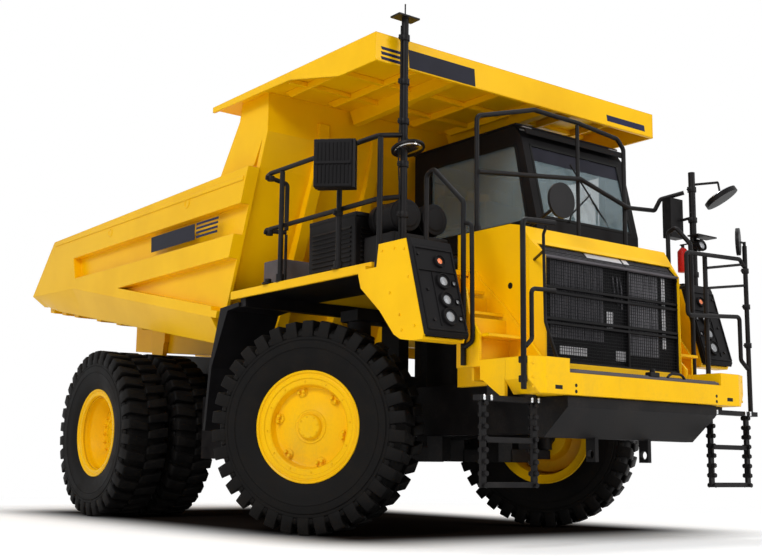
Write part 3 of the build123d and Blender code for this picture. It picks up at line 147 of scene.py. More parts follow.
# ------------------------------ finishes
def paint(name, colour, dusty, roughness=0.34, edge=0.012):
    """Sprayed enamel with orange peel, faint fading and dust that thins out with height."""
    f = Finish(name)
    clouds = f.noise(1.3, 4.0, 0.55)
    streaks = f.noise(2.2, 5.0, 0.6, stretch=(1.0, 1.0, 0.18))
    fine = f.noise(38.0, 4.0, 0.65)
    low = 1.0 - f.axis(2).between(0.3, 2.6)
    dust = ((streaks * 0.7 + fine * 0.3).between(0.45, 0.72) * low * dusty).clamped()
    shade = [max(c * k, 0.0) for c, k in zip(colour, (0.93, 0.90, 0.8))]
    base = f.mix(clouds.between(0.35, 0.68), colour, shade)
    base = f.mix(dust, base, (0.26, 0.18, 0.09))
    peel = f.bump(f.noise(420.0, 2.0, 0.5), 0.03, 0.002, f.rounded(edge))
    rough = (roughness + 0.08 * clouds + 0.35 * dust).clamped()
    return f.surface(base, rough, peel, coat=0.05 - 0.04 * dust,
                     **{"Coat Roughness": 0.12, "Specular IOR Level": 0.10})


def dark_steel(name, colour, roughness=0.42, dusty=0.5, edge=0.008):
    """Black chassis enamel over rolled steel, greyer where dust has settled."""
    f = Finish(name)
    blotch = f.noise(3.1, 5.0, 0.6)
    fine = f.noise(55.0, 3.0, 0.6)
    low = 1.0 - f.axis(2).between(0.4, 3.0)
    dust = ((blotch * 0.6 + fine * 0.4).between(0.44, 0.70) * dusty * (0.25 + 0.75 * low)).clamped()
    lighter = [c * 1.5 + 0.0015 for c in colour]
    base = f.mix(blotch.between(0.3, 0.7), colour, lighter)
    base = f.mix(dust * 0.7, base, (0.050, 0.042, 0.036))
    grain = f.bump(f.noise(260.0, 3.0, 0.6), 0.06, 0.002, f.rounded(edge))
    return f.surface(base, (roughness + 0.12 * blotch + 0.25 * dust).clamped(), grain,
                     **{"Specular IOR Level": 0.11})


def moulded(name, colour, roughness=0.55):
    """Grained plastic."""
    f = Finish(name)
    cells = f.add("ShaderNodeTexVoronoi", {}, {"Vector": f.place, "Scale": 230.0}, "Distance")
    blotch = f.noise(4.0, 4.0, 0.5)
    base = f.mix(blotch.between(0.3, 0.7), colour, [c * 1.35 + 0.001 for c in colour])
    grain = f.bump(cells, 0.12, 0.002, f.rounded(0.006))
    return f.surface(base, roughness + 0.1 * blotch, grain, **{"Specular IOR Level": 0.11})


def rubber(name):
    """Tyre rubber: matt black, brown dust in the low spots and fine flow lines."""
    f = Finish(name)
    blotch = f.noise(5.0, 5.0, 0.6)
    fine = f.noise(90.0, 4.0, 0.6)
    dust = (blotch * 0.55 + fine * 0.45).between(0.42, 0.66)
    base = f.mix(dust * 0.35, (0.0035, 0.0032, 0.0032), (0.022, 0.018, 0.015))
    skin = f.bump(fine, 0.25, 0.003, f.rounded(0.010))
    return f.surface(base, 0.60 + 0.2 * dust, skin, **{"Specular IOR Level": 0.10})


def polished(name, colour=(0.78, 0.79, 0.80), roughness=0.12):
    f = Finish(name)
    scuff = f.noise(120.0, 4.0, 0.6, stretch=(1, 1, 0.05))
    return f.surface(colour, roughness + 0.15 * scuff, f.bump(scuff, 0.05, 0.001), metallic=1.0)


def tinted_glass(name, colour, alpha):
    f = Finish(name)
    smear = f.noise(3.0, 4.0, 0.6)
    sockets = {"Alpha": alpha + 0.06 * smear}
    return f.surface(colour, 0.03 + 0.05 * smear, **sockets)


def lamp_lens(name, colour, glow, strength, ribs=90.0):
    """A moulded lens with fine vertical ribs that lights up faintly from behind."""
    f = Finish(name)
    waves = f.add("ShaderNodeTexWave", {"bands_direction": "Z"}, {"Vector": f.place, "Scale": ribs})
    sockets = {"Emission Color": (*glow, 1), "Emission Strength": strength}
    return f.surface(f.mix(waves, colour, [c * 0.6 for c in colour]), 0.12, f.bump(waves, 0.3, 0.002),
                     coat=0.6, **sockets)


YELLOW = (0.96, 0.540, 0.001)
yellow_paint = paint("yellow_enamel", YELLOW, 0.25)
# black chassis enamel, also used for the painted shade under the decks
chassis_black_and_painted_shade = dark_steel("chassis_enamel_and_painted_shade", (0.0050, 0.0044, 0.0047))
rail_black = dark_steel("rail_enamel", (0.0060, 0.0054, 0.0058), 0.38, 0.3, 0.004)
plastic_black = moulded("moulded_black", (0.0050, 0.0045, 0.0050))
plastic_grey = moulded("moulded_grey", (0.085, 0.078, 0.085))
tyre_rubber = rubber("tyre_rubber")
chrome = polished("ground_chrome")
mirror_glass = polished("mirror_face", (0.70, 0.72, 0.74), 0.04)
clear_glass = tinted_glass("cab_glazing", (0.30, 0.40, 0.44), 0.30)
amber_lens = lamp_lens("amber_lens", (0.80, 0.13, 0.01), (1.0, 0.25, 0.02), 0.25)
clear_lens = lamp_lens("clear_lens", (0.30, 0.31, 0.33), (1.0, 1.0, 1.0), 0.02, 60.0)


# ------------------------------ modelling steps
def deselect():
    if bpy.context.mode != "OBJECT":
        bpy.ops.object.mode_set(mode="OBJECT")
    bpy.ops.object.select_all(action="DESELECT")


def pick(*pieces):
    deselect()
    for piece in pieces:
        piece.select_set(True)
    bpy.context.view_layer.objects.active = pieces[-1]


def settle(piece):
    """Moves the object's place, turn and size into its mesh."""
    pick(piece)
    bpy.ops.object.transform_apply(location=True, rotation=True, scale=True)
    return piece


def block(name, low, high):
    """A block between two corners, the start of most welded pieces."""
    deselect()
    centre = [(a + b) / 2 for a, b in zip(low, high)]
    bpy.ops.mesh.primitive_cube_add(size=1, location=centre)
    piece = bpy.context.object
    piece.name = name
    piece.scale = [abs(b - a) for a, b in zip(low, high)]
    return settle(piece)


def turn_to(direction):
    return Vector(direction).to_track_quat("Z", "Y").to_euler()


def bar(name, start, end, radius, sides=24):
    """A round bar between two points."""
    deselect()
    a, b = Vector(start), Vector(end)
    bpy.ops.mesh.primitive_cylinder_add(vertices=sides, radius=radius, depth=(b - a).length,
                                        location=(a + b) / 2, rotation=turn_to(b - a))
    piece = bpy.context.object
    piece.name = name
    return settle(piece)


def sheet_metal(name, outline, start, end):
    """A flat plate: an outline in one plane across an axis, extruded to another.

    start and end are the planes, each as (axis, value). outline holds the other two coordinates.
    """
    deselect()
    axis = "XYZ".index(start[0])
    bpy.ops.mesh.primitive_circle_add(vertices=len(outline), radius=1, fill_type="NGON")
    piece = bpy.context.object
    piece.name = name
    for vertex, (u, v) in zip(piece.data.vertices, outline):
        corner = [u, v]
        corner.insert(axis, start[1])
        vertex.co = corner
    with editing(piece, whole=True):
        travel = [0, 0, 0]
        travel[axis] = end[1] - start[1]
        extrude(travel)
        bpy.ops.mesh.select_all(action="SELECT")
        bpy.ops.mesh.normals_make_consistent(inside=False)
    return piece


class editing:
    """Edit mode on one piece, with nothing selected at first, or the whole of it."""

    def __init__(self, piece, kind="FACE", whole=False):
        self.piece, self.kind, self.whole = piece, kind, whole

    def __enter__(self):
        pick(self.piece)
        bpy.ops.object.mode_set(mode="EDIT")
        bpy.ops.mesh.select_mode(type=self.kind)
        bpy.ops.mesh.select_all(action="SELECT" if self.whole else "DESELECT")
        return self

    def choose(self, test):
        """Selects faces by their middle and normal, or vertices by their place."""
        mesh = bmesh.from_edit_mesh(self.piece.data)
        if self.kind == "FACE":
            for face in mesh.faces:
                face.select_set(test(face.calc_center_median(), face.normal))
        else:
            for vertex in mesh.verts:
                vertex.select_set(test(vertex.co))
        mesh.select_flush_mode()
        bmesh.update_edit_mesh(self.piece.data)

    def __exit__(self, *_):
        bpy.ops.object.mode_set(mode="OBJECT")


def extrude(travel):
    bpy.ops.mesh.extrude_region_move(TRANSFORM_OT_translate={"value": travel})


def drawn(name, points):
    """A line of edges, drawn point by point."""
    deselect()
    bpy.ops.mesh.primitive_plane_add(size=0.01)
    line = bpy.context.object
    line.name = name
    with editing(line, "VERT", whole=True):
        bpy.ops.mesh.merge(type="CENTER")
        bpy.ops.mesh.select_all(action="SELECT")
        bpy.ops.transform.translate(value=points[0])
        for a, b in zip(points, points[1:]):
            extrude([v - u for u, v in zip(a, b)])
    return line


def slice_off(piece, point, normal):
    """Cuts away what lies on the normal's side of a plane and closes the cut."""
    with editing(piece, whole=True):
        bpy.ops.mesh.bisect(plane_co=point, plane_no=normal, clear_outer=True, use_fill=True)
    return piece


def apply_modifier(piece, kind, **settings):
    pick(piece)
    modifier = piece.modifiers.new(kind.title(), kind)
    for key, value in settings.items():
        setattr(modifier, key, value)
    bpy.ops.object.modifier_apply(modifier=modifier.name)
    return piece


def soften(piece, width, segments=2):
    """Rounds the sharp edges."""
    return apply_modifier(piece, "BEVEL", width=width, segments=segments, limit_method="ANGLE",
                          angle_limit=0.6)


def smooth(piece, angle=40):
    pick(piece)
    bpy.ops.object.shade_smooth_by_angle(angle=math.radians(angle))
    return piece


def tube(name, corners, radius, bend=0.06, sides=3):
    """A bent tube: a wire drawn point by point, its corners rounded, then given a round section."""
    wire = drawn(name, corners)
    if len(corners) > 2 and bend:
        with editing(wire, "VERT") as edit:
            ends = (Vector(corners[0]), Vector(corners[-1]))
            edit.choose(lambda co: all((co - end).length > 1e-4 for end in ends))
            bpy.ops.mesh.bevel(affect="VERTICES", offset=bend, segments=5)
    pick(wire)
    bpy.ops.object.convert(target="CURVE")
    wire = bpy.context.object
    wire.data.dimensions = "3D"
    wire.data.bevel_depth = radius
    wire.data.bevel_resolution = sides
    wire.data.use_fill_caps = True
    bpy.ops.object.convert(target="MESH")
    piece = bpy.context.object
    with editing(piece, "VERT", whole=True):
        bpy.ops.mesh.remove_doubles(threshold=0.0002)
        bpy.ops.mesh.normals_make_consistent(inside=False)
    return smooth(piece, 50)


def copied(piece, mirrored=False):
    """A copy with its own mesh, or its mirror image for the truck's other side."""
    pick(piece)
    bpy.ops.object.duplicate(linked=False)
    twin = bpy.context.object
    if mirrored:
        twin.scale = (1, -1, 1)
        settle(twin)
        with editing(twin, whole=True):
            bpy.ops.mesh.flip_normals()
    return twin


def joined(name, *pieces):
    pick(*pieces)
    bpy.ops.object.join()
    piece = bpy.context.object
    piece.name = name
    return piece


def finished(piece, body, material, slot, *replaced):
    """Gives a piece its finish, its body and the nodes that it stands for."""
    piece.data.materials.clear()
    piece.data.materials.append(material)
    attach(piece, body)
    if replaced:
        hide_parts(*replaced)
    return piece


def fitted(piece, material, slot, *replaced):
    """A finished piece that stays on the chassis."""
    return finished(piece, "chassis", material, slot, *replaced)


# ------------------------------ wheels
# A wheel is modelled at the origin, its axle along Y and its outer face towards +Y, then put in its place.
TYRE_R, TREAD_BASE_R, FLANGE_R, BEAD_R = 0.912, 0.866, 0.482, 0.419
LUGS = 34
FRONT_AXLE_X, KINGPIN_Y, WHEEL_OFFSET = 1.78, 1.385, 0.135
REAR_AXLE_X, DUAL_OUTER_Y, DUAL_STEP = -1.97, 1.64, 0.575
LOCK = math.radians(31.2)


def lathe(name, profile, steps=96):
    """A turned piece: its (axial, radius) profile spun about the Y axis."""
    piece = drawn(name, [(0, axial, radius) for axial, radius in profile])
    with editing(piece, "VERT", whole=True):
        bpy.ops.mesh.spin(steps=steps, angle=math.tau, center=(0, 0, 0), axis=(0, 1, 0))
        bpy.ops.mesh.select_all(action="SELECT")
        bpy.ops.mesh.remove_doubles(threshold=0.0001)
        bpy.ops.mesh.normals_make_consistent(inside=False)
    return smooth(piece, 32)


def around(piece, count, first=0.0):
    """Repeats a piece evenly about the Y axis, inside its own mesh."""
    step = math.tau / count
    with editing(piece, whole=True):
        if first:
            bpy.ops.transform.rotate(value=first, orient_axis="Y", center_override=(0, 0, 0))
        for _ in range(count - 1):
            bpy.ops.mesh.duplicate()
            bpy.ops.transform.rotate(value=step, orient_axis="Y", center_override=(0, 0, 0))
    return piece


def tyre():
    """Rock-tread tyre: ringed sidewalls, a grooved belt and deep blocks that wrap its shoulders."""
    half = [(0.150, BEAD_R + 0.003), (0.184, FLANGE_R - 0.002), (0.199, FLANGE_R + 0.004), (0.205, 0.500),
            (0.222, 0.545), (0.236, 0.605), (0.240, 0.655), (0.243, 0.664), (0.2385, 0.669),
            (0.2445, 0.674), (0.2462, 0.700), (0.2462, 0.733), (0.2395, 0.737), (0.2395, 0.742),
            (0.2440, 0.746), (0.2435, 0.764), (0.228, 0.776), (0.214, 0.806), (0.194, 0.834),
            (0.160, 0.858), (0.08, TREAD_BASE_R)]
    carcass = lathe("carcass", half + [(-a, r) for a, r in reversed(half)], 136)
    # shoulder block: its outline in the plane of the axle, given thickness along the tread
    lug = sheet_metal("lug", [(0.016, 0.860), (0.0, 0.897), (0.012, 0.9085), (0.205, TYRE_R), (0.231, 0.905),
                              (0.2435, 0.838), (0.2455, 0.766), (0.222, 0.762),
                              (0.200, 0.840)], ("X", -0.050), ("X", 0.050))
    # blocks narrow towards the middle of the tread and lean a little, so that the two rows mesh
    for vertex in lug.data.vertices:
        inward = max(0.0, 0.205 - vertex.co.y) / 0.205
        low = max(0.0, 0.86 - vertex.co.z) / 0.1
        vertex.co.x *= 1.0 - 0.22 * inward + 0.10 * low
        vertex.co.x += 0.035 * inward
    soften(lug, 0.007, 2)
    smooth(lug, 35)
    # low tie between two blocks
    tie = sheet_metal("tie", [(0.205, 0.800), (0.213, 0.822), (0.2335, 0.814), (0.2405, 0.774),
                              (0.222, 0.768)],
                      ("X", 0.058), ("X", 0.104))
    soften(tie, 0.005, 1)
    smooth(tie, 35)
    row = joined("row", tie, lug)
    around(row, LUGS)
    other = copied(row, mirrored=True)
    with editing(other, whole=True):
        bpy.ops.transform.rotate(value=math.pi / LUGS, orient_axis="Y", center_override=(0, 0, 0))
    return joined("tyre", row, other, carcass)


def bolt_ring(radius, axial, count, size=0.014, height=0.012, first=0.0):
    """Hexagonal bolt heads in a ring, facing +Y."""
    deselect()
    bpy.ops.mesh.primitive_cylinder_add(vertices=6, radius=size, depth=height,
                                        location=(0, axial + height / 2, radius),
                                        rotation=(math.pi / 2, 0, 0))
    bolt = settle(bpy.context.object)
    with editing(bolt) as edit:
        edit.choose(lambda c, n: n.y > 0.9)
        bpy.ops.mesh.inset(thickness=size * 0.22)
        bpy.ops.transform.translate(value=(0, height * 0.25, 0))
    return around(bolt, count, first)


def front_rim():
    """Front rim with its lock ring, bowl, paired wheel nuts, domed disc and hub cap."""
    profile = [(0.150, BEAD_R - 0.026), (0.160, BEAD_R), (0.168, BEAD_R + 0.010), (0.183, FLANGE_R - 0.006),
               (0.187, FLANGE_R), (0.200, FLANGE_R), (0.204, FLANGE_R - 0.006), (0.198, 0.462),
               (0.188, 0.456), (0.186, 0.446), (0.190, 0.440), (0.189, 0.414), (0.181, 0.409),
               (0.179, 0.398), (0.176, 0.368), (0.168, 0.358), (0.120, 0.348), (0.102, 0.340),
               (0.094, 0.322), (0.096, 0.290), (0.106, 0.225), (0.118, 0.168), (0.124, 0.146),
               (0.131, 0.142), (0.133, 0.130), (0.129, 0.122), (0.134, 0.112), (0.160, 0.104),
               (0.169, 0.096), (0.174, 0.070), (0.176, 0.0)]
    disc = lathe("front_rim", profile, 128)
    back = lathe("back", [(-0.150, BEAD_R - 0.026), (-0.183, FLANGE_R - 0.004), (-0.187, FLANGE_R),
                          (-0.203, FLANGE_R), (-0.203, FLANGE_R - 0.010), (-0.186, 0.455),
                          (-0.170, BEAD_R - 0.026), (0.140, BEAD_R - 0.040), (0.080, BEAD_R - 0.060),
                          (0.060, 0.250), (-0.048, 0.205), (-0.048, 0.100)], 96)
    # six pads with two nuts each at the foot of the bowl
    pad = lathe("pad", [(-0.012, 0.046), (0.016, 0.044), (0.020, 0.038), (0.020, 0.0)], 20)
    pad.location = (0, 0.094, 0.315)
    settle(pad)
    around(pad, 6, 0.30)
    nuts = [bolt_ring(0.312, 0.112, 6, 0.017, 0.030, 0.30 + shift) for shift in (-0.075, 0.075)]
    small = bolt_ring(0.388, 0.176, 12, 0.008, 0.006, 0.1)
    cap = bolt_ring(0.086, 0.170, 8, 0.007, 0.005, 0.2)
    return joined("front_rim", back, pad, small, cap, *nuts, disc)


def rear_rim():
    """Twin rear rims: lock ring, deep dish with a nut ring and the planetary hub's cover."""
    profile = [(0.150, BEAD_R - 0.026), (0.168, BEAD_R + 0.010), (0.183, FLANGE_R - 0.006),
               (0.187, FLANGE_R), (0.200, FLANGE_R), (0.204, FLANGE_R - 0.006), (0.198, 0.462),
               (0.188, 0.456), (0.186, 0.446), (0.190, 0.440), (0.189, 0.414), (0.181, 0.409),
               (0.150, 0.400), (0.096, 0.392), (0.080, 0.384), (0.060, 0.372), (-0.030, 0.334),
               (-0.056, 0.322), (-0.062, 0.300), (-0.060, 0.262), (-0.068, 0.250), (-0.070, 0.236),
               (-0.050, 0.226), (-0.030, 0.196), (-0.022, 0.120), (-0.016, 0.108), (-0.016, 0.0)]
    dish = lathe("rear_rim", profile, 128)
    barrel = lathe("barrel", [(0.120, BEAD_R - 0.030), (-0.186, BEAD_R - 0.026), (-0.203, FLANGE_R - 0.010),
                              (-0.203, FLANGE_R), (-0.186, FLANGE_R), (-0.186, BEAD_R - 0.005),
                              (-0.390, BEAD_R - 0.005), (-0.390, FLANGE_R), (-0.374, FLANGE_R),
                              (-0.374, BEAD_R - 0.004)], 96)
    inner = lathe("inner", [(-0.39, BEAD_R - 0.026), (-0.725, BEAD_R - 0.026), (-0.752, BEAD_R + 0.010),
                            (-0.760, FLANGE_R), (-0.777, FLANGE_R), (-0.779, FLANGE_R - 0.012),
                            (-0.762, 0.450), (-0.760, BEAD_R - 0.026), (-0.670, BEAD_R - 0.045),
                            (-0.635, 0.380), (-0.635, 0.260), (-0.800, 0.246), (-0.800, 0.150)], 96)
    nuts = bolt_ring(0.288, -0.062, 20, 0.015, 0.026)
    cover = bolt_ring(0.165, -0.027, 12, 0.010, 0.010, 0.13)
    plug = bolt_ring(0.060, -0.016, 2, 0.016, 0.010, 0.5)
    return joined("rear_rim", barrel, inner, nuts, cover, plug, dish)


def stand(piece, side, place, turn):
    """A copy of an outboard piece in its place: mirrored for the right side and turned about the vertical."""
    piece = copied(piece, mirrored=side < 0)
    piece.rotation_euler = (0, 0, turn)
    piece.location = place
    return settle(piece)


tyre_made, front_made, rear_made = tyre(), front_rim(), rear_rim()
for name, side in SIDES:
    front = (FRONT_AXLE_X - side * WHEEL_OFFSET * math.sin(LOCK),
             side * (KINGPIN_Y + WHEEL_OFFSET * math.cos(LOCK)), TYRE_R)
    piece = stand(tyre_made, side, front, LOCK)
    piece.name = f"tyre_front_{name}"
    finished(piece, f"front_wheel_{name}", tyre_rubber, "tyre", f"front_tyre_{name}")
    piece = stand(front_made, side, front, LOCK)
    piece.name = f"rim_front_{name}"
    finished(piece, f"front_wheel_{name}", yellow_paint, "yellow_paint", f"front_rim_{name}")
    pair = [stand(tyre_made, side, (REAR_AXLE_X, side * y, TYRE_R), 0.0)
            for y in (DUAL_OUTER_Y, DUAL_OUTER_Y - DUAL_STEP)]
    piece = joined(f"tyres_rear_{name}", *pair)
    finished(piece, f"rear_wheels_{name}", tyre_rubber, "tyre", f"rear_tyres_{name}")
    piece = stand(rear_made, side, (REAR_AXLE_X, side * DUAL_OUTER_Y, TYRE_R), 0.0)
    piece.name = f"rims_rear_{name}"
    finished(piece, f"rear_wheels_{name}", yellow_paint, "yellow_paint", f"rear_rims_{name}")
for piece in (tyre_made, front_made, rear_made):
    bpy.data.objects.remove(piece)


# ------------------------------ more finishes
grey_alloy = dark_steel("core_alloy", (0.075, 0.072, 0.078), 0.5, 0.2, 0.002)
core_bright = dark_steel("core_bright", (0.16, 0.155, 0.165), 0.5, 0.2, 0.002)
plate_grey = moulded("name_plate", (0.50, 0.49, 0.50), 0.45)
dark_plate = moulded("dark_plate", (0.011, 0.011, 0.018), 0.45)
stripe_blue = moulded("stripe_blue", (0.012, 0.014, 0.045), 0.45)
red_paint = paint("red_enamel", (0.55, 0.02, 0.015), 0.1)
smoked_lens = lamp_lens("smoked_lens", (0.10, 0.10, 0.11), (1, 1, 1), 0.0, 60.0)
# black of the guard wires, also used as painted shade for holes and slots
black_wire_and_painted_hole_shade = moulded("guard_wire_and_painted_hole_shade", (0.006, 0.006, 0.007), 0.4)

NOSE_X, NOSE_BREAK, NOSE_LEAN = 3.955, 2.232, 0.879
GRILLE_Y = 0.825


def nose_x(z, behind=0.0):
    """Front of the nose at a height, or a surface that far behind it."""
    return NOSE_X - behind - max(0.0, z - NOSE_BREAK) * NOSE_LEAN


def repeated(piece, count, step):
    """A row of copies in one piece."""
    return apply_modifier(piece, "ARRAY", count=count, use_relative_offset=False, use_constant_offset=True,
                          constant_offset_displace=step)


def leaning_plate(name, face, heights, across, near, far):
    """A plate along a leaning face, between two distances from it."""
    (z0, z1), (y0, y1) = heights, across
    outline = [(face(z0, near), z0), (face(z1, near), z1), (face(z1, far), z1), (face(z0, far), z0)]
    return sheet_metal(name, outline, ("Y", y0), ("Y", y1))


# ------------------------------ grille: guard wires, cores and the strip over them
PITCH = 0.0262
wire = bar("guard_uprights", (3.913, -GRILLE_Y + 0.012, 1.405), (3.913, -GRILLE_Y + 0.012, 2.228), 0.0024, 6)
uprights = repeated(wire, 62, (0, PITCH, 0))
wire = bar("guard_levels", (3.917, -GRILLE_Y + 0.004, 1.418), (3.917, GRILLE_Y - 0.004, 1.418), 0.0024, 6)
levels = repeated(wire, 31, (0, 0, PITCH))
fitted(joined("grille_guard", uprights, levels), black_wire_and_painted_hole_shade, "black_plastic")

for name, low, high, shade in (("right", -0.72, -0.10, grey_alloy), ("middle", 0.20, 0.60, core_bright),
                               ("left", 0.645, 0.70, plate_grey)):
    low_z = 1.52 if name == "middle" else 1.60
    core = soften(block(f"cooler_core_{name}", (3.8945, low, low_z), (3.900, high, 2.215)), 0.002)
    if name != "left":
        fin = block(f"cooler_fins_{name}", (3.898, low + 0.012, low_z + 0.012), (3.904, low + 0.016, 2.205))
        core = joined(f"cooler_core_{name}", core,
                      repeated(soften(fin, 0.0006, 1), int((high - low - 0.02) / 0.0155), (0.0, 0.0155, 0)))
    fitted(core, shade, "steel")
for number, (y0, y1, z0, z1) in enumerate(((-0.62, -0.30, 1.47, 1.54), (0.05, 0.20, 1.46, 1.545),
                                           (-0.06, 0.02, 1.70, 1.86))):
    fitted(soften(block(f"cooler_cover_{number}", (3.8945, y0, z0), (3.902, y1, z1)), 0.003), plate_grey,
           "steel")
for number, y in enumerate((0.035, 0.085, 0.125)):
    pipe = tube(f"cooler_hose_{number}",
                ((3.903, y, 1.95 - 0.03 * number), (3.903, y, 2.05), (3.903, y - 0.02, 2.16)), 0.007, 0.02)
    fitted(pipe, grey_alloy, "steel")

ledge = soften(block("grille_ledge", (3.90, -GRILLE_Y + 0.004, 2.222), (3.9505, GRILLE_Y - 0.004, 2.243)),
               0.006, 3)
fitted(ledge, plastic_grey, "black_plastic")
badge = soften(leaning_plate("blank_name_plate", nose_x, (2.286, 2.330), (-0.262, 0.262), 0.031, 0.025),
               0.003)
fitted(badge, plate_grey, "black_plastic")
VENT_STEP, VENT_R = 0.0149, 0.0052
LOWER_ROWS, UPPER_ROWS = (2.258, 2.272), (2.292, 2.306, 2.320)
for name, rows, y, count in (("vent_holes", LOWER_ROWS, -0.80, 108),
                             ("upper_vent_right", UPPER_ROWS, -0.80, 35),
                             ("upper_vent_left", UPPER_ROWS, 0.285, 35)):
    for number, z in enumerate(rows):
        x = nose_x(z, 0.032)
        hole = bar(f"{name}_{number}", (x, y, z), (x + 0.004, y, z + 0.0045), VENT_R, 8)
        fitted(repeated(hole, count, (0, VENT_STEP, 0)), grey_alloy, "black_plastic")
for z in (1.42, 2.20):
    for side in (-1, 1):
        bolt = bar("grille_bolt", (3.930, side * 0.805, z), (3.944, side * 0.805, z), 0.009, 6)
        fitted(soften(bolt, 0.001), rail_black, "steel")

# rim around the grille's opening, turned out from the hood's sheet
for name, side in SIDES:
    rim = sheet_metal(f"grille_rim_{name}",
                      [(3.9555, 1.395), (3.9555, 2.234), (3.869, 2.333), (3.845, 2.320), (3.925, 2.222),
                       (3.925, 1.395)],
                      ("Y", side * 0.8248), ("Y", side * 0.8195))
    fitted(soften(rim, 0.001), yellow_paint, "yellow_paint")

# ------------------------------ step mat, pin bracket and handle on the bumper
mat = block("bumper_mat", (3.992, -0.905, 1.2903), (4.270, 0.905, 1.312))
with editing(mat) as edit:
    edit.choose(lambda centre, normal: normal.z > 0.9)
    bpy.ops.mesh.inset(thickness=0.012)
    extrude((0, 0, 0.006))
cleat = soften(block("mat_cleat", (4.010, -0.885, 1.316), (4.252, -0.873, 1.323)), 0.002, 1)
fitted(joined("bumper_mat", soften(mat, 0.003), repeated(cleat, 60, (0, 0.0297, 0))), plastic_grey,
       "black_plastic")
handle = tube("pin_handle", ((4.262, 0.24, 1.316), (4.262, 0.28, 1.352), (4.262, 0.42, 1.352),
                             (4.262, 0.46, 1.316)), 0.011, 0.03)
fitted(handle, rail_black, "steel")
pin_box = soften(block("pin_bracket", (4.215, 0.02, 1.312), (4.276, 0.13, 1.350)), 0.006)
fitted(pin_box, rail_black, "dark_paint")
fitted(soften(bar("pin_head", (4.245, 0.075, 1.348), (4.245, 0.075, 1.378), 0.022, 20), 0.004), rail_black,
       "steel")

# ------------------------------ headlamp pods
POD_LEAN = 0.28905
POD_X, POD_TOP_Z = 3.550, 2.255
LAMPS = ((2.128, 0.042), (1.968, 0.056), (1.822, 0.056), (1.690, 0.062))
HEAD_LAMP_Y, SIDE_LAMP_Y = 1.605, 1.492
# strips that stand out round the pod's face: kind, number, heights, width across, rounding and its steps
POD_STRIPS = (("rim", 0, (1.585, 2.235), (1.452, 1.466), 0.005, 3),
              ("rim", 1, (1.585, 2.235), (1.826, 1.840), 0.005, 3),
              ("bar", 0, (2.221, 2.237), (1.466, 1.826), 0.004, 2),
              ("bar", 1, (2.045, 2.055), (1.466, 1.826), 0.004, 2),
              ("bar", 2, (1.583, 1.598), (1.466, 1.826), 0.004, 2))


def pod_x(z, ahead=0.0):
    """Face of the headlamp pods at a height."""
    return POD_X + (POD_TOP_Z - z) * POD_LEAN + ahead


def round_lamp(name, x, y, z, radius, depth, lens):
    """A hooded lamp facing forward: a bezel whose mouth holds a domed lens."""
    deselect()
    aim = Vector((1, 0, 0.29)).normalized()
    centre = Vector((x, y, z))
    bpy.ops.mesh.primitive_cylinder_add(vertices=32, radius=radius, depth=depth,
                                        location=centre + aim * depth / 2, rotation=turn_to(aim))
    bezel = bpy.context.object
    bezel.name = name
    settle(bezel)
    with editing(bezel) as edit:
        edit.choose(lambda centre, normal: normal.dot(aim) > 0.9)
        bpy.ops.mesh.inset(thickness=radius * 0.14)
        extrude(-aim * depth * 0.45)
    fitted(smooth(soften(bezel, radius * 0.05, 2)), plastic_black, "black_plastic")
    deselect()
    bpy.ops.mesh.primitive_uv_sphere_add(segments=32, ring_count=16, radius=radius * 0.66,
                                         location=centre + aim * depth * 0.52, rotation=turn_to(aim))
    glass = bpy.context.object
    glass.name = f"{name}_lens"
    glass.scale = (1, 1, 0.28)
    settle(glass)
    slice_off(glass, centre + aim * depth * 0.50, -aim)
    fitted(smooth(glass), lens, "glass")


for name, side in SIDES:
    for number, (z, radius) in enumerate(LAMPS):
        lens = clear_lens if number else amber_lens
        round_lamp(f"head_lamp_{name}_{number}", pod_x(z, -0.010), side * HEAD_LAMP_Y, z, radius + 0.008,
                   0.034, lens)
    for number, (z, _) in enumerate(LAMPS[1:]):
        round_lamp(f"side_lamp_{name}_{number}", pod_x(z, -0.012), side * SIDE_LAMP_Y, z - 0.004, 0.027,
                   0.026, smoked_lens)
    for kind, number, heights, across, width, segments in POD_STRIPS:
        strip = leaning_plate(f"pod_{kind}_{name}_{number}", pod_x, heights, [side * y for y in across],
                              -0.004, 0.012)
        fitted(soften(strip, width, segments), plastic_black, "black_plastic")
    for number, (y, z) in enumerate(((1.806, 2.170), (1.770, 1.894), (1.760, 1.660))):
        bolt = bar(f"pod_bolt_{name}_{number}", (pod_x(z, -0.002), side * y, z),
                   (pod_x(z, 0.012), side * y, z + 0.004), 0.013, 6)
        fitted(soften(bolt, 0.002), rail_black, "steel")
    crease = leaning_plate(f"pod_crease_{name}", pod_x, (1.62, 2.04), (side * 1.690, side * 1.702), -0.002,
                           0.010)
    fitted(soften(crease, 0.004, 2), plastic_black, "black_plastic")
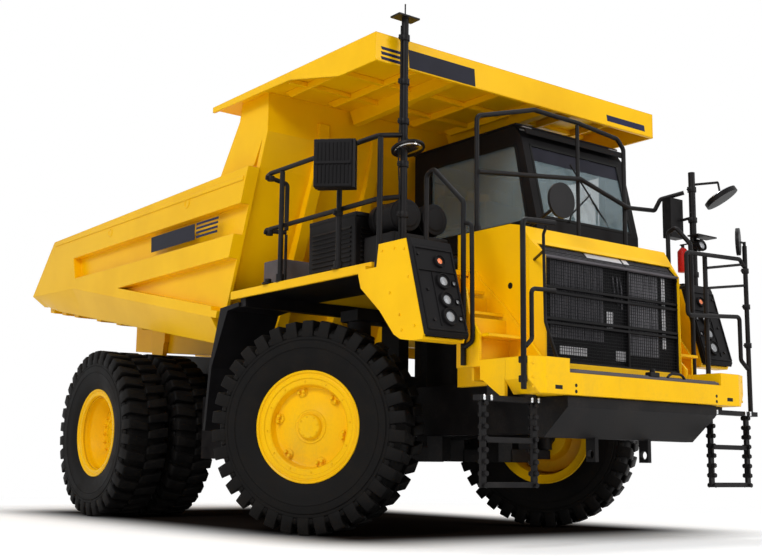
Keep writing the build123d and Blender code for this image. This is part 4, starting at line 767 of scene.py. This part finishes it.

# ------------------------------ bumper: slots, bolt holes and the bolt heads at its ends
for name, side in SIDES:
    # the slots and bolt holes are black plates and discs on the bumper's face: painted shade for the openings
    slot = sheet_metal(f"bumper_slot_{name}",
                       [(side * 0.992, 1.156), (side * 1.080, 1.156), (side * 1.080, 1.196),
                        (side * 0.992, 1.196)],
                       ("X", 4.270), ("X", 4.2823))
    fitted(soften(slot, 0.006, 3), black_wire_and_painted_hole_shade, "black_plastic")
    for number, z in enumerate((1.152, 1.197)):
        hole = soften(bar(f"bumper_hole_{name}_{number}", (4.270, side * 0.852, z),
                          (4.2823, side * 0.852, z), 0.014, 20), 0.0001, 1)
        fitted(hole, black_wire_and_painted_hole_shade, "black_plastic")
    for number, z in enumerate((1.17, 1.24, 1.34)):
        head = soften(bar(f"bumper_bolt_{name}_{number}", (4.235, side * 1.262, z),
                          (4.246, side * 1.2655, z), 0.011, 6), 0.002, 1)
        fitted(head, yellow_paint, "yellow_paint")
    # the stair hole is a black disc on the hood's side: painted shade for the opening
    eye = bar(f"stair_hole_{name}", (3.62, side * 0.8795, 2.02), (3.62, side * 0.8825, 2.02), 0.026, 24)
    fitted(soften(eye, 0.001), black_wire_and_painted_hole_shade, "black_plastic")
    # a thin black sheet just under the decks: painted shade on their undersides
    lining = block(f"deck_painted_shade_{name}", (0.84, side * 0.93, 2.1460), (2.96, side * 1.775, 2.1496))
    fitted(soften(lining, 0.001, 1), chassis_black_and_painted_shade, "dark_paint")


# ------------------------------ decals' places, bare or plain
BED_SIDE_Y, DECAL_Y = 1.7645, 1.7668


def decal(name, side, z0, z1, x0, x1, shade, lean):
    """A plain block of colour on the bed's side; lean slants its ends."""
    outline = [(x0, z0), (x1, z0), (x1 + lean, z1), (x0 + lean, z1)]
    piece = sheet_metal(name, outline, ("Y", side * BED_SIDE_Y), ("Y", side * DECAL_Y))
    return finished(soften(piece, 0.0006, 1), "bed", shade, "dark_paint")


# ------------------------------ cab: pillar trims, seals, wiper, sun band, seats
CAB_FRONT, CAB_LOW, SCREEN_LEAN = 2.980, 2.810, 190 / 810


def screen_x(z, ahead=0.0):
    """Outside of the windscreen's slanted wall at a height."""
    return CAB_FRONT - max(0.0, z - CAB_LOW) * SCREEN_LEAN + ahead


seal_black = moulded("window_seal", (0.006, 0.006, 0.006), 0.5)
SCREEN_SEALS = (((0.165, 0.19), (2.835, 3.565)), ((1.37, 1.395), (2.835, 3.565)),
                ((0.165, 1.395), (2.832, 2.86)), ((0.165, 1.395), (3.54, 3.568)))
for number, (across, heights) in enumerate(SCREEN_SEALS):
    strip = leaning_plate(f"screen_seal_{number}", screen_x, heights, across, 0.006, -0.008)
    fitted(soften(strip, 0.004), seal_black, "black_plastic")
sun_band = leaning_plate("screen_sun_band", screen_x, (3.40, 3.54), (0.19, 1.37), -0.006, -0.010)
fitted(soften(sun_band, 0.0008, 1), dark_plate, "black_plastic")
arm = tube("wiper_arm", ((2.992, 0.50, 2.83), (2.985, 0.52, 2.90), (2.925, 0.86, 3.16)), 0.008, 0.03)
blade = soften(block("wiper_blade", (-0.006, -0.36, -0.008), (0.006, 0.36, 0.008)), 0.002)
blade.rotation_euler = (math.radians(-52), math.radians(-13), math.radians(8))
blade.location = (2.916, 0.86, 3.15)
fitted(joined("wiper", arm, settle(blade)), seal_black, "black_plastic")
# overhanging roof skin, visor and corner lamps
roof = block("cab_roof_skin", (1.235, 0.065, 3.7405), (2.735, 1.495, 3.765))
fitted(soften(roof, 0.012, 4), plastic_black, "dark_paint")
visor = sheet_metal("cab_visor", [(2.70, 3.742), (2.83, 3.700), (2.850, 3.640), (2.835, 3.636),
                                  (2.815, 3.685), (2.70, 3.725)], ("Y", 0.09), ("Y", 1.47))
fitted(soften(visor, 0.004), plastic_black, "dark_paint")
for side, y in (("right", 0.18), ("left", 1.38)):
    lamp_body = soften(block(f"roof_lamp_{side}", (2.72, y - 0.06, 3.70), (2.775, y + 0.06, 3.735)), 0.01, 3)
    fitted(lamp_body, clear_lens, "glass")
for number, x in enumerate((1.30, 2.93)):
    trim = soften(block(f"side_pillar_{number}", (x - 0.03, 0.070, 2.30), (x + 0.03, 0.0795, 2.80)), 0.004)
    fitted(trim, plastic_black, "dark_paint")
side_seals = (((1.49, 2.800), (2.87, 2.800), (2.87, 2.822), (1.49, 2.822)),
              ((1.49, 3.548), (2.715, 3.548), (2.715, 3.570), (1.49, 3.570)),
              ((1.488, 2.81), (1.512, 2.81), (1.512, 3.56), (1.488, 3.56)),
              ((2.848, 2.81), (2.874, 2.81), (2.724, 3.56), (2.698, 3.56)),
              ((2.16, 2.82), (2.185, 2.82), (2.185, 3.55), (2.16, 3.55)))
for number, outline in enumerate(side_seals):
    fitted(soften(sheet_metal(f"side_seal_{number}", outline, ("Y", 0.073), ("Y", 0.0795)), 0.002),
           seal_black, "black_plastic")
grab = tube("cab_grab_rail", ((2.40, 1.481, 2.45), (2.40, 1.545, 2.47), (2.40, 1.545, 3.25),
                              (2.40, 1.481, 3.27)), 0.014, 0.04)
fitted(grab, rail_black, "steel")
# vents on the cab's right wall
for number, z in enumerate((2.42, 2.47, 2.52, 2.57, 2.62)):
    slat = sheet_metal(f"cab_vent_{number}",
                       [(0.0795, z), (0.066, z + 0.006), (0.066, z + 0.012), (0.0795, z + 0.03)],
                       ("X", 1.55), ("X", 2.10))
    fitted(soften(slat, 0.002, 1), plastic_black, "dark_paint")


# ------------------------------ seats
fabric = moulded("seat_cloth", (0.022, 0.022, 0.026), 0.85)
for name, y, width, front in (("operator", 0.86, 0.52, 2.25), ("trainer", 0.34, 0.42, 2.15)):
    for part, low, high in (("cushion", (front - 0.518, y - width / 2 + 0.002, 2.572),
                             (front - 0.002, y + width / 2 - 0.002, 2.692)),
                            ("back", (front - 0.618, y - width / 2 + 0.002, 2.70),
                             (front - 0.502, y + width / 2 - 0.002, 3.279))):
        pad = block(f"{name}_seat_{part}", low, high)
        with editing(pad, whole=True):
            bpy.ops.mesh.subdivide(number_cuts=5)
        pad = smooth(apply_modifier(soften(pad, 0.03, 4), "SMOOTH", factor=0.5, iterations=4), 60)
        fitted(pad, fabric, "fabric", *(("cab_seats",) if part == "cushion" and name == "operator" else ()))
    pedestal = sheet_metal(f"{name}_pedestal",
                           [(front - 0.46, 2.236), (front - 0.08, 2.236), (front - 0.13, 2.568),
                            (front - 0.41, 2.568)],
                           ("Y", y - 0.155), ("Y", y + 0.155))
    fitted(soften(pedestal, 0.012, 3), plastic_black, "black_plastic")
    for side in (-1, 1):
        rest_y = y + side * (width / 2 - 0.03)
        rest = tube(f"{name}_armrest", ((front - 0.55, rest_y, 2.93), (front - 0.28, rest_y, 2.93),
                                        (front - 0.16, rest_y, 2.925)), 0.026, 0.02)
        fitted(rest, fabric, "fabric")
    head = soften(block(f"{name}_headrest", (front - 0.605, y - 0.13, 3.285),
                        (front - 0.515, y + 0.13, 3.42)), 0.03, 4)
    fitted(smooth(head), fabric, "fabric")
    stem = bar(f"{name}_headrest_stem", (front - 0.56, y, 3.22), (front - 0.56, y, 3.30), 0.012, 16)
    fitted(soften(stem, 0.002), chrome, "steel")


# ------------------------------ deck equipment
def louvred_box(name, low, high, count):
    """A sheet-metal box with a lid and rows of louvres on its front and outer side."""
    body = soften(block(f"{name}_body", low, high), 0.012, 3)
    lid = soften(block(f"{name}_lid", (low[0], low[1], high[2] - 0.03),
                       (high[0] + 0.012, high[1] + 0.012, high[2] + 0.012)), 0.006)
    pieces = [body, lid]
    step = (high[2] - low[2] - 0.16) / count
    for index in range(count):
        z = low[2] + 0.07 + index * step
        side_slat = sheet_metal("slat", [(low[1], z), (low[1] - 0.014, z), (low[1], z + step * 0.6)],
                                ("X", low[0] + 0.06), ("X", high[0] - 0.06))
        front_slat = sheet_metal("slat", [(high[0], z), (high[0] + 0.014, z), (high[0], z + step * 0.6)],
                                 ("Y", low[1] + 0.06), ("Y", high[1] - 0.06))
        pieces += [side_slat, front_slat]
    return joined(name, *pieces)


fitted(louvred_box("cooler_box", (1.752, -1.558, 2.191), (2.448, -1.002, 2.716), 9), chassis_black_and_painted_shade,
       "dark_paint", "deck_equipment")
air_box = soften(block("air_cleaner_base", (2.482, -1.498, 2.191), (2.898, -0.902, 2.50)), 0.02, 3)
fitted(air_box, chassis_black_and_painted_shade, "dark_paint")
radius = 0.135
for index, y in enumerate((-1.33, -1.04)):
    can = bar(f"air_cleaner_{index}", (2.50, y, 2.655), (2.88, y, 2.655), radius, 40)
    with editing(can) as edit:
        edit.choose(lambda centre, normal: abs(normal.x) > 0.9)
        bpy.ops.mesh.inset(thickness=0.03)
        extrude((0, 0, 0))
        bpy.ops.transform.resize(value=(1.04, 0.9, 0.9), center_override=(2.69, y, 2.655))
    hoops = [soften(bar("hoop", (x, y, 2.655), (x + 0.02, y, 2.655), radius + 0.008, 40),
                    0.003) for x in (2.56, 2.80)]
    fitted(smooth(joined(f"air_cleaner_{index}", soften(can, 0.006), *hoops)), plastic_black, "dark_paint")
duct = tube("intake_duct", ((2.69, -1.04, 2.56), (2.69, -1.04, 2.42), (2.69, -0.93, 2.30),
                            (2.95, -0.80, 2.30)), 0.07, 0.10, 5)
fitted(duct, rail_black, "dark_paint")
battery = soften(block("battery_box", (1.252, -0.898, 2.191), (1.698, -0.452, 2.88)), 0.012, 3)
fitted(battery, chassis_black_and_painted_shade, "dark_paint")
for z in (2.30, 2.50, 2.70):
    fitted(soften(block("battery_rib", (1.28, -0.906, z), (1.67, -0.897, z + 0.03)), 0.003), chassis_black_and_painted_shade,
           "dark_paint")
tool_box = soften(block("tool_box", (0.902, -1.498, 2.191), (1.198, -1.152, 2.495)), 0.015, 3)
fitted(tool_box, plastic_grey, "dark_paint")
for number, (start, end) in enumerate((((1.76, -1.30, 2.25), (1.60, -0.95, 2.25)),
                                       ((1.80, -1.02, 2.60), (1.66, -0.88, 2.70)))):
    fitted(tube(f"cooler_line_{number}", (start, (start[0] - 0.06, start[1], start[2]), end), 0.022, 0.04),
           rail_black, "dark_paint")


# ------------------------------ bed: decals' places, lifting holes, ribs, canopy
for name, side in SIDES:
    decal(f"bed_plate_{name}", side, 2.812, 2.978, -0.945, 0.010, dark_plate, -0.010)
    for number in range(4):
        z = 2.822 + number * 0.044
        decal(f"bed_stripe_{name}_{number}", side, z, z + 0.024, 0.035, 0.460 + 0.006 * number, stripe_blue,
              -0.002)
    for number, (x, z) in enumerate(((-2.010, 3.194), (-0.191, 3.220))):
        ring = bar(f"lifting_hole_{name}_{number}", (x, side * 1.7575, z), (x, side * 1.770, z), 0.052, 28)
        with editing(ring) as edit:
            edit.choose(lambda centre, normal: normal.y * side > 0.9)
            bpy.ops.mesh.inset(thickness=0.014)
            extrude((0, -side * 0.010, 0))
        finished(smooth(soften(ring, 0.002)), "bed", yellow_paint, "yellow_paint")
    rim_bar = soften(block(f"bed_top_rail_{name}", (-3.60, side * 1.7640, 3.255),
                           (0.93, side * 1.772, 3.300)), 0.006, 3)
    finished(rim_bar, "bed", yellow_paint, "yellow_paint")
for name, shade, y0, y1, z0, z1 in (("stripe_1", stripe_blue, -1.700, -1.442, 3.900, 3.925),
                                    ("stripe_2", stripe_blue, -1.700, -1.440, 3.943, 3.968),
                                    ("stripe_3", stripe_blue, -1.700, -1.438, 3.986, 4.011),
                                    ("plate", dark_plate, -1.405, -0.655, 3.892, 4.050),
                                    ("stripe_4", stripe_blue, 1.080, 1.640, 3.925, 3.985)):
    piece = sheet_metal(f"canopy_{name}", [(y0, z0), (y1, z0), (y1 - 0.012, z1), (y0 - 0.012, z1)],
                        ("X", 2.9652), ("X", 2.9676))
    finished(soften(piece, 0.0006, 1), "bed", shade, "dark_paint")
lip_seam = soften(block("canopy_lip", (2.9655, -1.760, 3.878), (2.972, 1.760, 3.889)), 0.003)
finished(lip_seam, "bed", yellow_paint, "yellow_paint")
for index in range(7):
    y = -1.50 + index * 0.50
    rib = sheet_metal(f"canopy_rib_{index}", [(1.22, 4.101), (2.92, 4.101), (2.92, 4.045), (1.32, 4.030)],
                      ("Y", y - 0.012), ("Y", y + 0.012))
    finished(soften(rib, 0.003), "bed", yellow_paint, "yellow_paint")
for index in range(3):
    x = 1.55 + index * 0.5
    brace = soften(block(f"canopy_brace_{index}", (x, -1.70, 4.055), (x + 0.05, 1.70, 4.101)), 0.004)
    finished(brace, "bed", yellow_paint, "yellow_paint")


# ------------------------------ mirrors
def mirror_face(name, centre, aim, radius):
    """A round mirror's bright face with its rolled rim."""
    deselect()
    aim = Vector(aim).normalized()
    bpy.ops.mesh.primitive_cylinder_add(vertices=40, radius=radius, depth=0.006, location=centre,
                                        rotation=turn_to(aim))
    face = bpy.context.object
    face.name = name
    settle(face)
    with editing(face) as edit:
        edit.choose(lambda centre, normal: normal.dot(aim) > 0.9)
        bpy.ops.mesh.inset(thickness=radius * 0.06)
        extrude(aim * 0.004)
    return fitted(smooth(soften(face, 0.0012)), mirror_glass, "steel")


mirror_face("nose_mirror_face", (3.919, -0.620, 2.700), (-1, 0, 0), 0.132)
mirror_face("mast_mirror_face", (3.099, -1.520, 3.1345), (0.27, 0, -1), 0.118)
knob = smooth(soften(bar("mast_mirror_knob", (3.094, -1.520, 3.150), (3.088, -1.520, 3.182), 0.034, 24),
                     0.008, 3))
fitted(knob, rail_black, "black_plastic")
mirror_face("left_disc_face", (3.6035, 1.942, 3.2025), (-0.42, -0.29, 0.85), 0.152)

# boxed mirror on the right rail: ribbed shell with a recessed face
shell = block("boxed_mirror", (-0.052, -0.158, -0.200), (0.052, 0.158, 0.200))
with editing(shell) as edit:
    edit.choose(lambda centre, normal: normal.x < -0.9)
    bpy.ops.mesh.inset(thickness=0.016)
    extrude((0.020, 0, 0))
rib = soften(block("rib", (0.050, -0.130, -0.170), (0.062, -0.122, 0.170)), 0.002, 1)
ribs = repeated(rib, 9, (0, 0.0315, 0))
band = soften(block("band", (0.050, -0.150, -0.012), (0.066, 0.150, 0.012)), 0.003)
shell = joined("boxed_mirror", soften(shell, 0.012, 4), ribs, band)
shell.rotation_euler = (0, 0, math.radians(-45))
shell.location = (2.705, -1.980, 3.013)
fitted(settle(shell), plastic_black, "black_plastic")


# ------------------------------ rails: foot flanges, clamps, the mast's cable and post brackets
def flange(name, x, y, z, radius=0.055):
    """A post's foot: a plate with a collar and four bolts."""
    plate = soften(bar("plate", (x, y, z), (x, y, z + 0.012), radius, 24), 0.002)
    collar = soften(bar("collar", (x, y, z + 0.010), (x, y, z + 0.050), 0.031, 24), 0.003)
    bolts = []
    for turn in range(4):
        angle = math.radians(45 + 90 * turn)
        bx, by = x + radius * 0.72 * math.cos(angle), y + radius * 0.72 * math.sin(angle)
        bolts.append(bar("bolt", (bx, by, z + 0.010), (bx, by, z + 0.022), 0.008, 6))
    return fitted(smooth(joined(name, plate, collar, *bolts)), rail_black, "steel")


def clamp(name, x, y, z, radius=0.034, height=0.045):
    """A split clamp around a post."""
    ring = soften(bar("ring", (x, y, z - height / 2), (x, y, z + height / 2), radius, 24), 0.003)
    ears = soften(block("ears", (x - 0.008, y - radius - 0.022, z - height / 2 + 0.004),
                        (x + 0.008, y - radius + 0.006, z + height / 2 - 0.004)), 0.002)
    bolt = bar("bolt", (x - 0.018, y - radius - 0.012, z), (x + 0.018, y - radius - 0.012, z), 0.006, 6)
    return fitted(smooth(joined(name, ring, ears, bolt)), rail_black, "steel")


RAIL_Y = 1.770
for number, x in enumerate((1.42, 2.50)):
    flange(f"rail_foot_{number}", x, -RAIL_Y, 2.1915)
    for low in (2.715, 3.222):
        clamp(f"rail_clamp_{number}_{round(low * 1000)}", x, -RAIL_Y, low - 0.05)
MAST = (3.045, -1.520)
for number, z in enumerate((2.20, 2.60, 3.02, 3.38, 3.72, 4.10)):
    clamp(f"mast_clamp_{number}", *MAST, z, 0.041, 0.05)
cable = tube("mast_cable", ((3.045, -1.560, 4.20), (3.045, -1.562, 3.40), (3.040, -1.575, 3.10),
                            (3.045, -1.562, 2.80), (3.045, -1.560, 2.20)), 0.007, 0.08)
fitted(cable, seal_black, "black_plastic")
for number, z in enumerate((1.70, 2.05, 2.38)):
    clamp(f"left_post_clamp_{number}", 4.030, 1.690, z, 0.031)
for number, z in enumerate((2.42, 2.95, 3.25)):
    clamp(f"mirror_post_clamp_{number}", 3.450, 1.720, z, 0.042, 0.05)
for number, z in enumerate((1.20, 1.34)):
    bracket = soften(block(f"corner_post_bracket_{number}", (4.165, -1.338, z), (4.225, -1.3005, z + 0.05)),
                     0.006)
    fitted(bracket, rail_black, "steel")


# ------------------------------ ladders: link pins with their nuts, and bolts
LADDER_X, LADDER_LOW, LADDER_HIGH, LINKS = 4.050, 0.445, 1.062, 7
for name, side in SIDES:
    pins = []
    step = (LADDER_HIGH - 0.0003 - LADDER_LOW - 0.034) / LINKS
    for y in (1.041 + 0.030, 1.607 - 0.030):
        for index in range(LINKS + 1):
            z = LADDER_LOW + 0.017 + index * step
            pins.append(soften(bar("pin", (LADDER_X - 0.034, side * y, z), (LADDER_X + 0.034, side * y, z),
                                   0.014, 20), 0.003))
            for reach in (-0.038, 0.030):
                pins.append(bar("nut", (LADDER_X + reach, side * y, z),
                                (LADDER_X + reach + 0.010, side * y, z), 0.020, 6))
    fitted(smooth(joined(f"ladder_pins_{name}", *pins)), rail_black, "steel")
    bolts = [soften(bar("bolt", (LADDER_X + 0.030, side * y, z), (LADDER_X + 0.042, side * y, z), 0.013, 6),
                    0.002)
             for y in (1.05, 1.12, 1.53, 1.60) for z in (1.075, 1.092)]
    fitted(joined(f"ladder_bolts_{name}", *bolts), chrome, "steel")


# ------------------------------ fenders, stairs and hood: bolts and grip treads
for name, side in SIDES:
    heads = [soften(bar("head", (x, side * 1.8495, z), (x, side * 1.857, z), 0.010, 6), 0.001)
             for x, z in ((3.20, 2.24), (3.35, 2.24), (3.47, 2.22), (3.30, 1.90), (3.42, 1.72), (3.52, 2.00),
                          (3.60, 1.62), (3.45, 1.60))]
    fitted(joined(f"fender_bolts_{name}", *heads), yellow_paint, "yellow_paint")
    for x, low, high, rows in ((3.590, 1.598, 1.604, 5), (3.362, 1.795, 1.801, 5), (3.141, 2.000, 2.006, 5),
                               (3.760, 1.3942, 1.400, 6)):
        stud = soften(bar("stud", (x, side * 0.945, low), (x, side * 0.945, high), 0.010, 12), 0.002, 1)
        row = repeated(stud, 10, (0, side * 0.033, 0))
        fitted(repeated(row, rows, (0.036, 0, 0)), yellow_paint, "yellow_paint")


# ------------------------------ left post's extinguisher and lamp
bottle = bar("extinguisher", (3.40, 1.62, 2.44), (3.40, 1.62, 2.64), 0.052, 28)
with editing(bottle) as edit:
    edit.choose(lambda centre, normal: normal.z > 0.9)
    extrude((0, 0, 0.035))
    bpy.ops.transform.resize(value=(0.42, 0.42, 1), center_override=(3.40, 1.62, 2.675))
fitted(smooth(soften(bottle, 0.006)), red_paint, "dark_paint")
valve = joined("extinguisher_valve", soften(bar("neck", (3.40, 1.62, 2.672), (3.40, 1.62, 2.70), 0.016, 16),
                                            0.002),
               soften(block("lever", (3.37, 1.61, 2.70), (3.45, 1.63, 2.712)), 0.003))
fitted(valve, rail_black, "steel")
for z in (2.48, 2.60):
    strap = soften(block("extinguisher_strap", (3.405, 1.60, z), (3.452, 1.700, z + 0.02)), 0.003)
    fitted(strap, rail_black, "steel")
round_lamp("left_post_lamp", 3.528, 1.720, 2.691, 0.058, 0.03, clear_lens)


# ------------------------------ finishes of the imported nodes
FINISHES = (
    (yellow_paint, "bed_side bed_floor bed_front bed_canopy bed_beams bed_bolsters hood front_bumper "
                   "fenders stair deck "
                   "front_rim rear_rims"),
    (chassis_black_and_painted_shade, "frame_ strut_ deck_supports rear_axle rear_suspension front_arms front_struts "
                    "skid_plate knuckle engine_block transmission_block drive_shafts radiator "
                    "hoist_barrel deck_equipment fuel_tank hydraulic_tank"),
    (rail_black, "deck_rails cab_guard_rail front_handrails ladders mirrors"),
    (plastic_black, "grille headlamp_pods mud_flaps cab_shell cab_door cab_dash cab_seats"),
    (rail_black, "mast"),
    (tyre_rubber, "front_tyre rear_tyres"),
    (chrome, "hoist_stage hoist_rod"),
    (clear_glass, "cab_glass door_glass"),
)
for material, names in FINISHES:
    for start in names.split():
        for name, node in nodes.items():
            if name.startswith(start):
                for slot in node.material_slots:
                    slot.link = "OBJECT"
                    slot.material = material


# ------------------------------ floor, world, lamps and camera
def seen_white(finish, shader, glow):
    """Shows the glow to the camera, to mirrors and through glass, and the shader to all else."""
    seen, mirrored, through = [finish.add("ShaderNodeLightPath", output=ray)
                               for ray in ("Is Camera Ray", "Is Glossy Ray", "Is Transmission Ray")]
    seen = seen.math("MAXIMUM", mirrored).math("MAXIMUM", through)
    return finish.add("ShaderNodeMixShader", {}, {0: seen, 1: shader, 2: glow})


# the floor is pale near the truck and fades into the white background between two distances
FLOOR_SIZE, FLOOR_GLOW = 400, 0.22
FADE_FROM, FADE_TO = 5.2, 8.0
# the painted shadow under the truck, a soft dark patch mixed into the floor: axis, middle, full up to, gone
# at
SHADE = ((0, -0.25, 2.7, 4.2), (1, 0.15, 1.65, 2.95))
deselect()
bpy.ops.mesh.primitive_plane_add(size=FLOOR_SIZE)
floor = bpy.context.object
floor.name = "studio_floor"
ground = Finish("studio_floor")
matt = ground.add("ShaderNodeBsdfDiffuse", {}, {"Color": (0.93, 0.93, 0.93, 1)})
glow = ground.add("ShaderNodeEmission", {}, {"Strength": FLOOR_GLOW})
both = ground.add("ShaderNodeAddShader", {}, {0: matt, 1: glow})
distance = ground.add("ShaderNodeVectorMath", {"operation": "LENGTH"}, {0: ground.place}, "Value")
pure = ground.add("ShaderNodeEmission")
faded = ground.add("ShaderNodeMixShader", {}, {0: distance.between(FADE_FROM, FADE_TO), 1: both, 2: pure})
along, wide = [1.0 - (ground.axis(axis) - middle).math("ABSOLUTE").between(inner, outer)
               for axis, middle, inner, outer in SHADE]
# colour of the painted shadow: a near-black matt that replaces the floor inside the patch
dark = ground.add("ShaderNodeBsdfDiffuse", {}, {"Color": (0.016, 0.012, 0.010, 1)})
shaded = ground.add("ShaderNodeMixShader", {}, {0: along * wide, 1: faded, 2: dark})
floor.data.materials.append(ground.ended(seen_white(ground, matt, shaded)))

sky = Finish("studio", bpy.data.worlds, "ShaderNodeOutputWorld")
ambient = sky.add("ShaderNodeBackground", {}, {"Color": (0.96, 0.98, 1.0, 1), "Strength": 0.45})
white = sky.add("ShaderNodeBackground", {}, {"Color": (1, 1, 1, 1), "Strength": 1.0})
bpy.context.scene.world = sky.ended(seen_white(sky, ambient, white))


def lamp(name, place, aim, size, power):
    data = bpy.data.lights.new(name, "AREA")
    data.shape, data.size, data.energy = "DISK", size, power
    light = bpy.data.objects.new(name, data)
    bpy.context.collection.objects.link(light)
    light.location = place
    light.rotation_euler = (Vector(aim) - Vector(place)).to_track_quat("-Z", "Y").to_euler()


lamp("key", (9.0, -15.0, 12.0), (-0.5, 0, 2.0), 6.0, 1500)
lamp("fill", (17.0, 7.0, 8.0), (1.0, 0, 1.8), 8.0, 900)
lamp("top", (-1.0, 1.0, 15.0), (0, 0, 0), 9.0, 1000)

# camera: where it stands, and its turn about the vertical, its tilt and its roll
EYE = Vector((10.1365, -7.2427, 0.5888))
YAW, PITCH, ROLL = math.radians(142.189), math.radians(9.188), math.radians(0.745)
ahead = Vector((math.cos(PITCH) * math.cos(YAW), math.cos(PITCH) * math.sin(YAW), math.sin(PITCH)))
right = Vector((math.sin(YAW), -math.cos(YAW), 0))
up = right.cross(ahead)
right_rolled = right * math.cos(ROLL) + up * math.sin(ROLL)
up_rolled = up * math.cos(ROLL) - right * math.sin(ROLL)
lens = bpy.data.cameras.new("camera")
lens.lens, lens.sensor_width, lens.sensor_fit = 54.28, 36.0, "HORIZONTAL"
lens.clip_end = 1000
camera = bpy.data.objects.new("camera", lens)
bpy.context.collection.objects.link(camera)
turn = Matrix((right_rolled, up_rolled, -ahead)).transposed()
camera.matrix_world = Matrix.Translation(EYE) @ turn.to_4x4()
bpy.context.scene.camera = camera
bpy.context.scene.view_settings.view_transform = "Standard"
